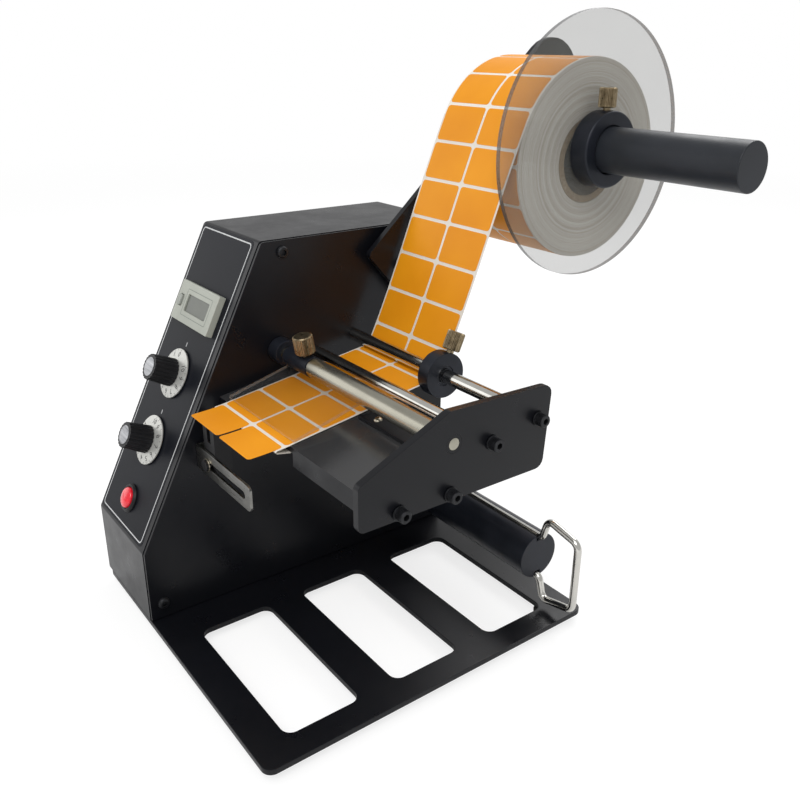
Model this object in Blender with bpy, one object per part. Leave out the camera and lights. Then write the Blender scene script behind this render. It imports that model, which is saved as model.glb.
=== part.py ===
"""Desktop label dispenser: a sloped control box on a windowed base plate, with a peel platform,
guide rods, a roll spindle on an arm, and a take-up spindle. Metres, +Z up.

X runs to the right along every rod and spindle, Y from front to back. The plan values below are
measured from the box's right side, the front edge and the top of the base plate. At the end one
empty carries everything to the middle of its own footprint.
"""

import math

import bmesh
import bpy
from mathutils import Matrix, Vector

for old in list(bpy.data.objects):
    bpy.data.objects.remove(old, do_unlink=True)

# Clearances
GAP = 0.0003
OVERRUN = 0.002

# Control box
BOX_WIDTH = 0.073
BOX_DEPTH = 0.220
BOX_HEIGHT = 0.218
BOX_FRONT_HEIGHT = 0.0464
BOX_SLOPE_DEPTH = 0.0862
BOX_BEND = 0.003
SHELL_SHEET = 0.0015
SHELL_FLANGE = 0.012
SIDE_SHEET = 0.002
SIDE_INSET = 0.0004

# Base plate and feet
BASE_REACH = 0.142
BASE_SHEET = 0.0035
BASE_CORNER = 0.006
WINDOW_SIDE_MARGIN = 0.025
WINDOW_OUTER_MARGIN = 0.0156
WINDOW_END_MARGIN = 0.0198
WINDOW_BAR = 0.0228
WINDOW_CORNER = 0.006
WINDOW_COUNT = 3
FOOT_RADIUS = 0.0075
FOOT_HEIGHT = 0.005
FOOT_TAPER = 0.001
FOOT_INSET = 0.016

# Fasteners
SCREW_HEAD_RADIUS = 0.0036
SCREW_HEAD_HEIGHT = 0.0024
SCREW_CROWN_SHARE = 0.62
SCREW_RADIUS = 0.0018
SCREW_HOLE_CLEARANCE = 0.0004
SCREW_EDGE_MARGIN = 0.0083
SCREW_TOP_MARGIN = 0.0072
SCREW_BASE_MARGIN = 0.0108
SCREW_TOP_SETBACK = 0.0131
SCREW_TAIL = 0.003
CAP_SCREW_HEAD_RADIUS = 0.0037
CAP_SCREW_HEAD_HEIGHT = 0.0048
CAP_SCREW_WASHER_RADIUS = 0.0047
CAP_SCREW_WASHER = 0.0012
CAP_SCREW_RADIUS = 0.002
CAP_SCREW_DEPTH = 0.010
HEX_SOCKET_RADIUS = 0.0017
HEX_SOCKET_DEPTH = 0.0025
THUMB_HEAD_RADIUS = 0.005
THUMB_HEAD_LENGTH = 0.0105
THUMB_STEM_RADIUS = 0.002
THUMB_STEM_SHOW = 0.0016
THUMB_BEVEL = 0.0006

# Panel fittings; a panel height is measured up the slope from its lower edge
PANEL_CENTRE_SHARE = 0.5377
COUNTER_WIDTH = 0.050
COUNTER_HEIGHT = 0.0245
COUNTER_CENTRE = 0.1429
COUNTER_PROUD = 0.004
COUNTER_CASE_DEPTH = 0.013
COUNTER_CASE_INSET = 0.0018
COUNTER_CORNER = 0.0015
COUNTER_LCD_WIDTH = 0.0285
COUNTER_LCD_HEIGHT = 0.0105
COUNTER_LCD_SHIFT = 0.0025
COUNTER_LCD_DEPTH = 0.0012
BUTTON_WIDTH = 0.0044
BUTTON_HEIGHT = 0.0066
BUTTON_SHIFT = -0.0195
BUTTON_PROUD = 0.0014
BUTTON_TRAVEL = 0.0012
BUTTON_LENGTH = 0.004
LENGTH_KNOB_HEIGHT = 0.1012
SPEED_KNOB_HEIGHT = 0.0579
DIAL_RADIUS = 0.0152
DIAL_THICKNESS = 0.0022
DIAL_SLOPE = 0.0012
DIAL_LIFT = 0.0008
KNOB_RADIUS = 0.0086
KNOB_TOP_RADIUS = 0.0078
KNOB_HEIGHT = 0.0145
KNOB_FLUTE = 0.0003
KNOB_FLUTES = 20
KNOB_CAP_RADIUS = 0.0066
KNOB_CAP_RISE = 0.0005
SHAFT_RADIUS = 0.003
SHAFT_RISE = 0.012
POT_RADIUS = 0.008
POT_BUSH_RADIUS = 0.0036
LAMP_HEIGHT = 0.0195
LAMP_RING_RADIUS = 0.0088
LAMP_RING_PROUD = 0.0022
LAMP_BARREL_RADIUS = 0.0074
LAMP_BARREL_DEPTH = 0.010
LAMP_WALL = 0.0008
LENS_DOME = 0.0026
BOARD_SHEET = 0.0016
BOARD_DEPTH = 0.016
BOARD_MARGIN = 0.006
BOARD_LOW = 0.030
BOARD_HIGH = 0.176

# Rear inlet with its rocker switch
INLET_WIDTH = 0.027
INLET_HEIGHT = 0.046
INLET_PROUD = 0.0025
INLET_CASE_INSET = 0.002
INLET_CASE_DEPTH = 0.022
INLET_CENTRE_HEIGHT = 0.040
INLET_CORNER = 0.002
SOCKET_WIDTH = 0.0215
SOCKET_HEIGHT = 0.0155
SOCKET_DEPTH = 0.015
SOCKET_SHIFT = -0.0085
SOCKET_CORNER = 0.003
ROCKER_WIDTH = 0.018
ROCKER_HALF_HEIGHT = 0.0080
ROCKER_SHIFT = 0.0115
ROCKER_PROUD = 0.0022
ROCKER_DIP = 0.0022
ROCKER_DEPTH = 0.0040
ROCKER_WELL_DEPTH = 0.0075
ROCKER_CLEARANCE = 0.0007
ROCKER_TILT = math.radians(8.0)

# Motor, pulleys and belts inside the box
MOTOR_Y = 0.122
MOTOR_Z = 0.076
MOTOR_RADIUS = 0.018
MOTOR_GEARBOX_RADIUS = 0.0215
MOTOR_GEARBOX_LENGTH = 0.018
MOTOR_WALL_CLEARANCE = 0.0061
MOTOR_BOSS_RADIUS = 0.006
MOTOR_BOSS_LENGTH = 0.002
PULLEY_WIDTH = 0.0036
PULLEY_LIP = 0.0012
PULLEY_LIP_WIDTH = 0.0005
PULLEY_SIDE_CLEARANCE = 0.0016
MOTOR_PULLEY_RADIUS = 0.007
DRIVE_PULLEY_RADIUS = 0.0105
TAKE_UP_PULLEY_RADIUS = 0.0095
BELT_WIDTH = 0.002
BELT_THICKNESS = 0.0012

# Roll arm, roll spindle, disc and hub
LABEL_BAY = 0.156
SPINDLE_Y = 0.2575
SPINDLE_Z = 0.2662
SPINDLE_RADIUS = 0.0127
SPINDLE_REACH = 0.185
SPINDLE_CHAMFER = 0.001
SPINDLE_STUB_RADIUS = 0.005
SPINDLE_STUB_LENGTH = 0.006
ARM_STANDOFF = 0.005
ARM_SHEET = 0.004
ARM_HALF_WIDTH = 0.0236
ARM_ANGLE = math.radians(42.0)
ARM_TAIL = 0.120
ARM_HEAD = 0.053
ARM_CORNER = 0.003
ARM_STUD_SHARES = (0.90, 0.62)
ARM_SPACER_RADIUS = 0.005
ARM_HOLE_CLEARANCE = 0.0004
DISC_RADIUS = 0.073
DISC_SHEET = 0.003
DISC_EDGE = 0.0004
SLIDE_CLEARANCE = 0.0003
HUB_RADIUS = 0.021
HUB_LENGTH = 0.0125
HUB_CHAMFER = 0.001
THUMB_BITE = 0.004

# Label roll and web
WEB_START = 0.011
WEB_WIDTH = 0.070
WEB_THICKNESS = 0.0004
ROLL_RADIUS = 0.0552
CORE_RADIUS = 0.024
CORE_BORE = 0.020
STRIP_DEPARTURE = math.radians(63.0)
STRIP_ARRIVAL = math.radians(65.3)
STRIP_PULL = 0.046
TIP_REACH = 0.0232
TIP_DROP = 0.0018
LINER_TAIL = 0.022
WEB_LANDING_Y = 0.097

# Peel platform, in plan; its top slopes up towards the back
PEEL_EDGE_Y = 0.0543
PEEL_EDGE_Z = 0.133
PLATFORM_SLOPE = math.radians(9.0)
PLATFORM_LENGTH = 0.056
PLATFORM_SHEET = 0.003
PLATFORM_SKIRT = 0.0105
NOTCH_MARGIN = 0.002
EDGE_GUIDE_FRONT = 0.0397
EDGE_GUIDE_DEPTH = 0.014
EDGE_GUIDE_HEIGHT = 0.002
EDGE_GUIDE_MARGIN = 0.003
EDGE_GUIDE_POINT = 0.008
EDGE_GUIDE_SCREW = 0.0125
EDGE_GUIDE_SCREW_SETBACK = 0.004
COVER_SHEET = 0.0018
COVER_SET_BACK = 0.001
COVER_LIFT = 0.0006
COVER_OVERHANG = 0.0015
COVER_TAIL = 0.002
COVER_HUB_RADIUS = 0.0060
COVER_HUB_START = 0.0145
COVER_HUB_LENGTH = 0.025
COVER_THUMB_SHARE = 0.74
COVER_THUMB_HEAD_RADIUS = 0.0057
COVER_THUMB_TILT = math.radians(-10.0)

# Rods between the box and the outer plate
ROD_RADIUS = 0.004
ROD_LIFT = 0.0003
MIDDLE_ROD_Y = 0.1175
REAR_ROD_Y = 0.1472
FRONT_BAR_Y = 0.0943
FRONT_BAR_RISE = 0.0145
FRONT_BAR_RADIUS = 0.0056
FRONT_BAR_END_RADIUS = 0.0043
BOSS_RADIUS = 0.0076
BOSS_LENGTH = 0.0100
BOSS_CHAMFER = 0.001
GUIDE_COLLAR_RADIUS = 0.0128
GUIDE_COLLAR_LENGTH = 0.0085
GUIDE_COLLAR_RECESS = 0.0015
GUIDE_COLLAR_RECESS_RADIUS = 0.0068
GUIDE_COLLAR_CHAMFER = 0.0006
GUIDE_THUMB_TILT = math.radians(24.0)
COLLAR_WEB_GAP = 0.0004

# Outer side plate
PLATE_SHEET = 0.004
PLATE_FRONT_Y = 0.042
PLATE_REAR_Y = 0.156
PLATE_LOW_Z = 0.125
PLATE_FRONT_TOP = 0.0227
PLATE_PEAK_SETBACK = 0.0495
PLATE_PEAK_TOP = 0.0455
PLATE_REAR_TOP = 0.044
PLATE_REAR_LEAN = 0.003
PLATE_CORNER = 0.005
PLATE_FRONT_CORNER = 0.003
PLATE_SCREW_FRONT_Y = 0.0636
PLATE_SCREW_REAR_Y = 0.0929
PLATE_SCREW_RISE = 0.0038

# Feed rollers under the platform
FEED_ROLLER_Y = 0.076
FEED_ROLLER_Z = 0.1245
FEED_ROLLER_RADIUS = 0.008
FEED_ROLLER_MARGIN = 0.003
PINCH_ROLLER_RADIUS = 0.005
PINCH_SHAFT_RADIUS = 0.0015
BEARING_CLEARANCE = 0.0004

# Label sensor
SENSOR_BRACKET_Y = 0.0375
SENSOR_BRACKET_LOW = 0.093
SENSOR_BRACKET_HEIGHT = 0.015
SENSOR_BRACKET_REACH = 0.066
SENSOR_BRACKET_SHEET = 0.0015
SENSOR_BRACKET_FOOT = 0.014
SENSOR_BRACKET_CORNER = 0.003
SENSOR_SLOT_HEIGHT = 0.0044
SENSOR_SLOT_START = 0.011
SENSOR_SLOT_MARGIN = 0.006
SENSOR_SLOT_END_SHARE = 0.95
SENSOR_STUD_RADIUS = 0.0018
SENSOR_STUD_HEAD = 0.0035
SENSOR_STUD_HEAD_HEIGHT = 0.002
SENSOR_WIDTH = 0.014
SENSOR_DEPTH = 0.010
SENSOR_HEIGHT = 0.026
SENSOR_LOW = 0.0975
SENSOR_FORK = 0.004
SENSOR_FORK_DEPTH = 0.010
SENSOR_REST = 0.015

# Take-up spindle and its wire clip
TAKE_UP_Y = 0.2011
TAKE_UP_Z = 0.0327
TAKE_UP_RADIUS = 0.0146
TAKE_UP_START = 0.006
TAKE_UP_LENGTH = 0.113
TAKE_UP_SHAFT_RADIUS = 0.004
TAKE_UP_GROOVE_FLOOR = 0.0110
CLIP_WIRE_RADIUS = 0.00225
CLIP_CLEARANCE = 0.0003
CLIP_HUMP = 0.0277
CLIP_LOOP_HALF = 0.0225
CLIP_REACH = 0.030
CLIP_STEP = 0.004
CLIP_BEND = 0.005

# Mesh fineness
ROUND_LARGE = 48
ROUND_MEDIUM = 28
ROUND_SMALL = 14
ARC_STEPS = 4
WIRE_SIDES = 8
BEND_STEPS = 4
SHARP_ANGLE = math.radians(32.0)
WELD = 1e-7

# Places that several pieces share
FLOOR_DROP = BASE_SHEET + GAP + FOOT_HEIGHT
PANEL_ANGLE = math.atan2(BOX_HEIGHT - BOX_FRONT_HEIGHT, BOX_SLOPE_DEPTH)
PANEL_CENTRE_X = -BOX_WIDTH * PANEL_CENTRE_SHARE
SHELL_RIGHT = -SIDE_SHEET - GAP
CAVITY_LEFT = -BOX_WIDTH + SHELL_SHEET
WEB_END = WEB_START + WEB_WIDTH
WEB_OFFSET = GAP + WEB_THICKNESS / 2
ROLL_Z = SPINDLE_Z + SPINDLE_RADIUS + GAP - CORE_BORE
ARM_FRONT = ARM_STANDOFF + ARM_SHEET
DISC_START = WEB_END + COLLAR_WEB_GAP
HUB_START = DISC_START + DISC_SHEET + GAP
COLLAR_START = WEB_END + COLLAR_WEB_GAP
PLATE_FACE = LABEL_BAY + PLATE_SHEET
RODS_END = LABEL_BAY - GAP
BELT_INNER_X = SHELL_RIGHT - PULLEY_SIDE_CLEARANCE - PULLEY_WIDTH
BELT_OUTER_X = BELT_INNER_X - PULLEY_WIDTH
MOTOR_FACE = BELT_OUTER_X - GAP - MOTOR_BOSS_LENGTH
MOTOR_LENGTH = MOTOR_FACE - MOTOR_GEARBOX_LENGTH - MOTOR_WALL_CLEARANCE - CAVITY_LEFT
PINCH_ROLLER_Y = FEED_ROLLER_Y + FEED_ROLLER_RADIUS + PINCH_ROLLER_RADIUS + 2 * GAP + WEB_THICKNESS
TAKE_UP_END = TAKE_UP_START + TAKE_UP_LENGTH
SLOPE_COS = math.cos(PLATFORM_SLOPE)


def platform_z(y):
    """Height of the platform's top face at a distance from the front."""
    return PEEL_EDGE_Z + (y - PEEL_EDGE_Y) * math.tan(PLATFORM_SLOPE)


def rod_z(y):
    """Height of a rod that the web runs under, a little above the platform's plane."""
    return platform_z(y) + 2 * GAP + WEB_THICKNESS + ROD_RADIUS + ROD_LIFT


MIDDLE_ROD_Z = rod_z(MIDDLE_ROD_Y)
REAR_ROD_Z = rod_z(REAR_ROD_Y)
FRONT_BAR_Z = platform_z(FRONT_BAR_Y) + FRONT_BAR_RISE


# Datums: the machine, the sloping panel, the platform and the roll arm
def datum(name, parent, place, turn):
    """An empty that carries pieces at its own place and turn about X."""
    empty = bpy.data.objects.new(name, None)
    empty.parent = parent
    empty.location = place
    empty.rotation_euler = (turn, 0, 0)
    bpy.context.scene.collection.objects.link(empty)
    return empty


MACHINE_WIDTH = BOX_WIDTH + SPINDLE_REACH
MACHINE_REAR = SPINDLE_Y + DISC_RADIUS
machine = datum(
    "machine_datum",
    None,
    (BOX_WIDTH - MACHINE_WIDTH / 2, -MACHINE_REAR / 2, FLOOR_DROP),
    0,
)
panel = datum("panel_datum", machine, (0, 0, BOX_FRONT_HEIGHT), PANEL_ANGLE)
platform = datum("platform_datum", machine, (0, PEEL_EDGE_Y, PEEL_EDGE_Z), PLATFORM_SLOPE)
arm = datum("arm_datum", machine, (0, SPINDLE_Y, SPINDLE_Z), ARM_ANGLE)


# Finishes
def finish(name, colour, roughness, metallic=0.0, alpha=1.0):
    """A Principled material with one colour."""
    material = bpy.data.materials.new(name)
    material.use_nodes = True
    shader = material.node_tree.nodes["Principled BSDF"]
    shader.inputs["Base Color"].default_value = (*colour, 1.0)
    shader.inputs["Roughness"].default_value = roughness
    shader.inputs["Metallic"].default_value = metallic
    shader.inputs["Alpha"].default_value = alpha
    material.diffuse_color = (*colour, alpha)
    return material


BLACK_PAINT = finish("black_paint", (0.012, 0.012, 0.015), 0.28)
BLACK_ANODISED = finish("black_anodised", (0.028, 0.029, 0.032), 0.38, 0.6)
BLACK_PLASTIC = finish("black_plastic", (0.015, 0.015, 0.016), 0.45)
GREY_PLASTIC = finish("grey_plastic", (0.030, 0.034, 0.040), 0.5)
RUBBER = finish("rubber", (0.02, 0.02, 0.02), 0.85)
CHROME = finish("chrome", (0.78, 0.77, 0.74), 0.12, 1.0)
NICKEL = finish("nickel", (0.55, 0.50, 0.42), 0.35, 1.0)
STEEL = finish("steel", (0.55, 0.55, 0.54), 0.3, 1.0)
DIAL_SILVER = finish("dial_silver", (0.58, 0.58, 0.56), 0.4, 0.8)
BLACK_SCREW = finish("black_screw", (0.02, 0.02, 0.022), 0.45, 0.5)
CREAM_PLASTIC = finish("cream_plastic", (0.48, 0.49, 0.42), 0.4)
RED_LENS = finish("red_lens", (0.75, 0.01, 0.02), 0.12)
GREEN_BOARD = finish("green_board", (0.02, 0.16, 0.05), 0.5)
CLEAR_ACRYLIC = finish("clear_acrylic", (0.85, 0.87, 0.86), 0.05, 0.0, 0.25)
BOARD_PAPER = finish("board_paper", (0.50, 0.38, 0.24), 0.85)
LINER_PAPER = finish("liner_paper", (0.70, 0.67, 0.62), 0.6)
ORANGE_LABEL = finish("orange_label", (0.75, 0.28, 0.02), 0.5)


# Shapes
def place_on(axis, along, across, up):
    """Turns a distance along an axis and two across it into a point."""
    if axis == "X":
        return Vector((along, across, up))
    if axis == "Y":
        return Vector((across, along, up))
    return Vector((across, up, along))


def prism(outline, low, high, axis):
    """A bmesh of a closed outline carried from one distance to another along an axis."""
    bm = bmesh.new()
    face = bm.faces.new([bm.verts.new(place_on(axis, low, a, b)) for a, b in outline])
    grown = bmesh.ops.extrude_face_region(bm, geom=[face])
    moved = [item for item in grown["geom"] if isinstance(item, bmesh.types.BMVert)]
    bmesh.ops.translate(bm, verts=moved, vec=place_on(axis, high - low, 0, 0))
    bmesh.ops.recalc_face_normals(bm, faces=bm.faces[:])
    return bm


def turned(profile, axis, steps, closed=False):
    """A bmesh of a profile of (radius, distance along the axis) turned all the way round."""
    bm = bmesh.new()
    points = [bm.verts.new(place_on(axis, along, radius, 0)) for radius, along in profile]
    edges = [bm.edges.new(pair) for pair in zip(points, points[1:])]
    if closed:
        edges.append(bm.edges.new((points[-1], points[0])))
    bmesh.ops.spin(
        bm,
        geom=points + edges,
        cent=(0, 0, 0),
        axis=place_on(axis, 1, 0, 0),
        angle=math.tau,
        steps=steps,
        use_merge=True,
        use_duplicate=False,
    )
    bmesh.ops.remove_doubles(bm, verts=bm.verts[:], dist=WELD)
    bmesh.ops.recalc_face_normals(bm, faces=bm.faces[:])
    return bm


def band(outer, inner, low, high, axis):
    """A bmesh of a closed belt between two outlines that have as many points as each other."""
    bm = bmesh.new()
    loops = [
        [bm.verts.new(place_on(axis, along, a, b)) for a, b in outline]
        for outline, along in ((outer, low), (outer, high), (inner, high), (inner, low))
    ]
    for first, second in zip(loops, loops[1:] + loops[:1]):
        for i in range(len(first)):
            bm.faces.new((first[i - 1], first[i], second[i], second[i - 1]))
    bmesh.ops.recalc_face_normals(bm, faces=bm.faces[:])
    return bm


def rounded(corners, radii):
    """An outline with an arc at each corner; a radius of zero keeps the corner."""
    outline = []
    for i, corner in enumerate(corners):
        here = Vector(corner)
        back = (Vector(corners[i - 1]) - here).normalized()
        ahead = (Vector(corners[(i + 1) % len(corners)]) - here).normalized()
        if radii[i] == 0:
            outline.append(tuple(here))
            continue
        half = back.angle(ahead) / 2
        centre = here + (back + ahead).normalized() * (radii[i] / math.sin(half))
        start = here + back * (radii[i] / math.tan(half)) - centre
        end = here + ahead * (radii[i] / math.tan(half)) - centre
        sweep = start.angle_signed(end)
        for step in range(ARC_STEPS + 1):
            turn = Matrix.Rotation(-sweep * step / ARC_STEPS, 2)
            outline.append(tuple(centre + turn @ start))
    return outline


def box_outline(low_a, high_a, low_b, high_b, radius):
    """A rectangle's outline with equal corner arcs."""
    corners = [(low_a, low_b), (high_a, low_b), (high_a, high_b), (low_a, high_b)]
    return rounded(corners, [radius] * len(corners))


def inset(outline, distance):
    """Moves each side of an outline, drawn anticlockwise, inwards by a distance."""
    moved = []
    for i, corner in enumerate(outline):
        here = Vector(corner)
        before = (here - Vector(outline[i - 1])).normalized()
        after = (Vector(outline[(i + 1) % len(outline)]) - here).normalized()
        left_before = Vector((-before.y, before.x))
        left_after = Vector((-after.y, after.x))
        mitre = (left_before + left_after).normalized()
        moved.append(tuple(here + mitre * (distance / mitre.dot(left_after))))
    return moved


def add(name, bm, material, parent=machine, place=(0, 0, 0), turn=(0, 0, 0)):
    """Makes a named object of a bmesh, shaded smooth but for its sharp edges."""
    mesh = bpy.data.meshes.new(name)
    bm.to_mesh(mesh)
    bm.free()
    mesh.materials.append(material)
    mesh.shade_smooth()
    mesh.set_sharp_from_angle(angle=SHARP_ANGLE)
    thing = bpy.data.objects.new(name, mesh)
    thing.parent = parent
    thing.location = place
    thing.rotation_euler = turn
    bpy.context.scene.collection.objects.link(thing)
    return thing


def change(thing, tool, operation):
    """Cuts a tool from a piece, or joins it on; the tool itself isn't part of the machine."""
    step = thing.modifiers.new(tool.name, "BOOLEAN")
    step.operation = operation
    step.object = tool
    tool.hide_render = True
    tool.display_type = "WIRE"


def drill(name, radius, low, high, axis, parent, place, pieces):
    """Cuts one round hole through each of some pieces."""
    profile = [(0, low), (radius, low), (radius, high), (0, high)]
    tool = add(name, turned(profile, axis, ROUND_SMALL), BLACK_PAINT, parent, place)
    for piece in pieces:
        change(piece, tool, "DIFFERENCE")


# Base plate with its three windows
def make_base():
    plate = add(
        "base_plate",
        prism(box_outline(-BOX_WIDTH, BASE_REACH, 0, BOX_DEPTH, BASE_CORNER), -BASE_SHEET, 0, "Z"),
        BLACK_PAINT,
    )
    bars = (WINDOW_COUNT - 1) * WINDOW_BAR
    depth = (BOX_DEPTH - 2 * WINDOW_END_MARGIN - bars) / WINDOW_COUNT
    for i in range(WINDOW_COUNT):
        front = WINDOW_END_MARGIN + i * (depth + WINDOW_BAR)
        outline = box_outline(
            WINDOW_SIDE_MARGIN,
            BASE_REACH - WINDOW_OUTER_MARGIN,
            front,
            front + depth,
            WINDOW_CORNER,
        )
        tool = prism(outline, -BASE_SHEET - OVERRUN, OVERRUN, "Z")
        change(plate, add(f"base_window_{i + 1}_cut", tool, BLACK_PAINT), "DIFFERENCE")


def make_feet():
    profile = [
        (0, 0),
        (FOOT_RADIUS, 0),
        (FOOT_RADIUS, -FOOT_HEIGHT + FOOT_TAPER),
        (FOOT_RADIUS - FOOT_TAPER, -FOOT_HEIGHT),
        (0, -FOOT_HEIGHT),
    ]
    for end, y in (("front", FOOT_INSET), ("rear", BOX_DEPTH - FOOT_INSET)):
        for side, x in (("left", FOOT_INSET - BOX_WIDTH), ("right", BASE_REACH - FOOT_INSET)):
            shape = turned(profile, "Z", ROUND_SMALL)
            add(f"foot_{end}_{side}", shape, RUBBER, place=(x, y, -BASE_SHEET - GAP))


# Box: a bent shell, open underneath and on the right, and the side panel that closes it
def box_corners():
    return [
        (0, GAP),
        (BOX_DEPTH, GAP),
        (BOX_DEPTH, BOX_HEIGHT),
        (BOX_SLOPE_DEPTH, BOX_HEIGHT),
        (0, BOX_FRONT_HEIGHT),
    ]


def make_box():
    corners = box_corners()
    bends = [0, 0, BOX_BEND, BOX_BEND, BOX_BEND]
    shell = add(
        "box_shell",
        prism(rounded(corners, bends), -BOX_WIDTH, SHELL_RIGHT, "X"),
        BLACK_PAINT,
    )
    inner = inset(corners, SHELL_SHEET)
    inner[0] = (inner[0][0], -OVERRUN)
    inner[1] = (inner[1][0], -OVERRUN)
    cavity = prism(inner, CAVITY_LEFT, SHELL_RIGHT - SHELL_SHEET, "X")
    change(shell, add("box_cavity_cut", cavity, BLACK_PAINT), "DIFFERENCE")
    mouth = prism(
        inset(corners, SHELL_FLANGE),
        SHELL_RIGHT - SHELL_SHEET - OVERRUN,
        SHELL_RIGHT + OVERRUN,
        "X",
    )
    change(shell, add("box_mouth_cut", mouth, BLACK_PAINT), "DIFFERENCE")
    side_outline = rounded(inset(corners, SIDE_INSET), [0, 0, BOX_BEND, BOX_BEND, BOX_BEND])
    side = add("side_panel", prism(side_outline, -SIDE_SHEET, 0, "X"), BLACK_PAINT)
    return shell, side


def make_side_screws(shell, side):
    """Four pan screws hold the side panel on the shell's flange."""
    rear_y = BOX_DEPTH - SCREW_EDGE_MARGIN
    places = {
        "front_low": (SCREW_EDGE_MARGIN, SCREW_BASE_MARGIN),
        "rear_low": (rear_y, SCREW_BASE_MARGIN),
        "front_high": (BOX_SLOPE_DEPTH + SCREW_TOP_SETBACK, BOX_HEIGHT - SCREW_TOP_MARGIN),
        "rear_high": (rear_y, BOX_HEIGHT - SCREW_TOP_MARGIN),
    }
    tail = SHELL_RIGHT - SHELL_SHEET - SCREW_TAIL
    profile = [
        (0, tail),
        (SCREW_RADIUS, tail),
        (SCREW_RADIUS, GAP),
        (SCREW_HEAD_RADIUS, GAP),
        (SCREW_HEAD_RADIUS, SCREW_HEAD_HEIGHT / 2),
        (SCREW_HEAD_RADIUS * SCREW_CROWN_SHARE, SCREW_HEAD_HEIGHT),
        (0, SCREW_HEAD_HEIGHT),
    ]
    hole = SCREW_RADIUS + SCREW_HOLE_CLEARANCE
    for name, (y, z) in places.items():
        shape = turned(profile, "X", ROUND_SMALL)
        add(f"side_screw_{name}", shape, BLACK_SCREW, place=(0, y, z))
        cut_name = f"side_screw_{name}_cut"
        drill(cut_name, hole, tail, OVERRUN, "X", machine, (0, y, z), (shell, side))


# Counter module with its reset button
def make_counter(shell):
    half_width = COUNTER_WIDTH / 2
    half_height = COUNTER_HEIGHT / 2
    centre = (PANEL_CENTRE_X, COUNTER_CENTRE, 0)
    bezel = add(
        "counter_body",
        prism(
            box_outline(-half_width, half_width, -half_height, half_height, COUNTER_CORNER),
            GAP,
            COUNTER_PROUD,
            "Z",
        ),
        CREAM_PLASTIC,
        panel,
        centre,
    )
    case_width = half_width - COUNTER_CASE_INSET
    case_height = half_height - COUNTER_CASE_INSET
    case = prism(
        box_outline(-case_width, case_width, -case_height, case_height, COUNTER_CORNER),
        -COUNTER_CASE_DEPTH,
        COUNTER_PROUD / 2,
        "Z",
    )
    change(bezel, add("counter_case_join", case, CREAM_PLASTIC, panel, centre), "UNION")
    lcd = prism(
        box_outline(
            COUNTER_LCD_SHIFT - COUNTER_LCD_WIDTH / 2,
            COUNTER_LCD_SHIFT + COUNTER_LCD_WIDTH / 2,
            -COUNTER_LCD_HEIGHT / 2,
            COUNTER_LCD_HEIGHT / 2,
            COUNTER_CORNER / 2,
        ),
        COUNTER_PROUD - COUNTER_LCD_DEPTH,
        COUNTER_PROUD + OVERRUN,
        "Z",
    )
    change(bezel, add("counter_lcd_cut", lcd, CREAM_PLASTIC, panel, centre), "DIFFERENCE")
    half_button = BUTTON_WIDTH / 2
    tall_button = BUTTON_HEIGHT / 2
    floor = COUNTER_PROUD + BUTTON_PROUD - BUTTON_LENGTH
    well = prism(
        box_outline(
            BUTTON_SHIFT - half_button - GAP,
            BUTTON_SHIFT + half_button + GAP,
            -tall_button - GAP,
            tall_button + GAP,
            COUNTER_CORNER / 2,
        ),
        floor - BUTTON_TRAVEL - GAP,
        COUNTER_PROUD + OVERRUN,
        "Z",
    )
    change(bezel, add("counter_button_cut", well, CREAM_PLASTIC, panel, centre), "DIFFERENCE")
    button = prism(
        box_outline(-half_button, half_button, -tall_button, tall_button, COUNTER_CORNER / 2),
        floor,
        COUNTER_PROUD + BUTTON_PROUD,
        "Z",
    )
    place = (PANEL_CENTRE_X + BUTTON_SHIFT, COUNTER_CENTRE, 0)
    add("reset_button", button, GREY_PLASTIC, panel, place)
    opening = prism(
        box_outline(
            -case_width - GAP,
            case_width + GAP,
            -case_height - GAP,
            case_height + GAP,
            COUNTER_CORNER,
        ),
        -SHELL_SHEET - OVERRUN,
        OVERRUN,
        "Z",
    )
    change(shell, add("counter_opening_cut", opening, BLACK_PAINT, panel, centre), "DIFFERENCE")


# Control knobs, each a silver dial under a fluted knob on a shaft from the board
def make_knobs(shell):
    bore = SHAFT_RADIUS + GAP
    dial_top = DIAL_LIFT + DIAL_THICKNESS
    knob_low = dial_top + GAP
    knob_top = knob_low + KNOB_HEIGHT
    dial = [
        (bore, DIAL_LIFT),
        (DIAL_RADIUS, DIAL_LIFT),
        (DIAL_RADIUS, dial_top - DIAL_SLOPE),
        (KNOB_RADIUS, dial_top),
        (bore, dial_top),
    ]
    body = [
        (bore, knob_low),
        (KNOB_RADIUS, knob_low),
        (KNOB_TOP_RADIUS, knob_top),
        (KNOB_CAP_RADIUS, knob_top),
        (KNOB_CAP_RADIUS, knob_top + KNOB_CAP_RISE),
        (0, knob_top + KNOB_CAP_RISE),
        (0, SHAFT_RISE + GAP),
        (bore, SHAFT_RISE + GAP),
    ]
    for name, height in (("length", LENGTH_KNOB_HEIGHT), ("speed", SPEED_KNOB_HEIGHT)):
        place = (PANEL_CENTRE_X, height, 0)
        ring = turned(dial, "Z", ROUND_MEDIUM, closed=True)
        add(f"{name}_dial", ring, DIAL_SILVER, panel, place)
        knob = turned(body, "Z", 2 * KNOB_FLUTES, closed=True)
        for vert in knob.verts:
            radius = vert.co.xy.length
            if radius < KNOB_CAP_RADIUS + KNOB_FLUTE:
                continue
            turn = math.atan2(vert.co.y, vert.co.x)
            ridge = KNOB_FLUTE * math.cos(turn * KNOB_FLUTES)
            vert.co.xy *= (radius - KNOB_FLUTE + ridge) / radius
        add(f"{name}_knob", knob, BLACK_PLASTIC, panel, place)
        hole = POT_BUSH_RADIUS + SCREW_HOLE_CLEARANCE
        low = -SHELL_SHEET - OVERRUN
        drill(f"{name}_shaft_cut", hole, low, OVERRUN, "Z", panel, place, (shell,))


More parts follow.
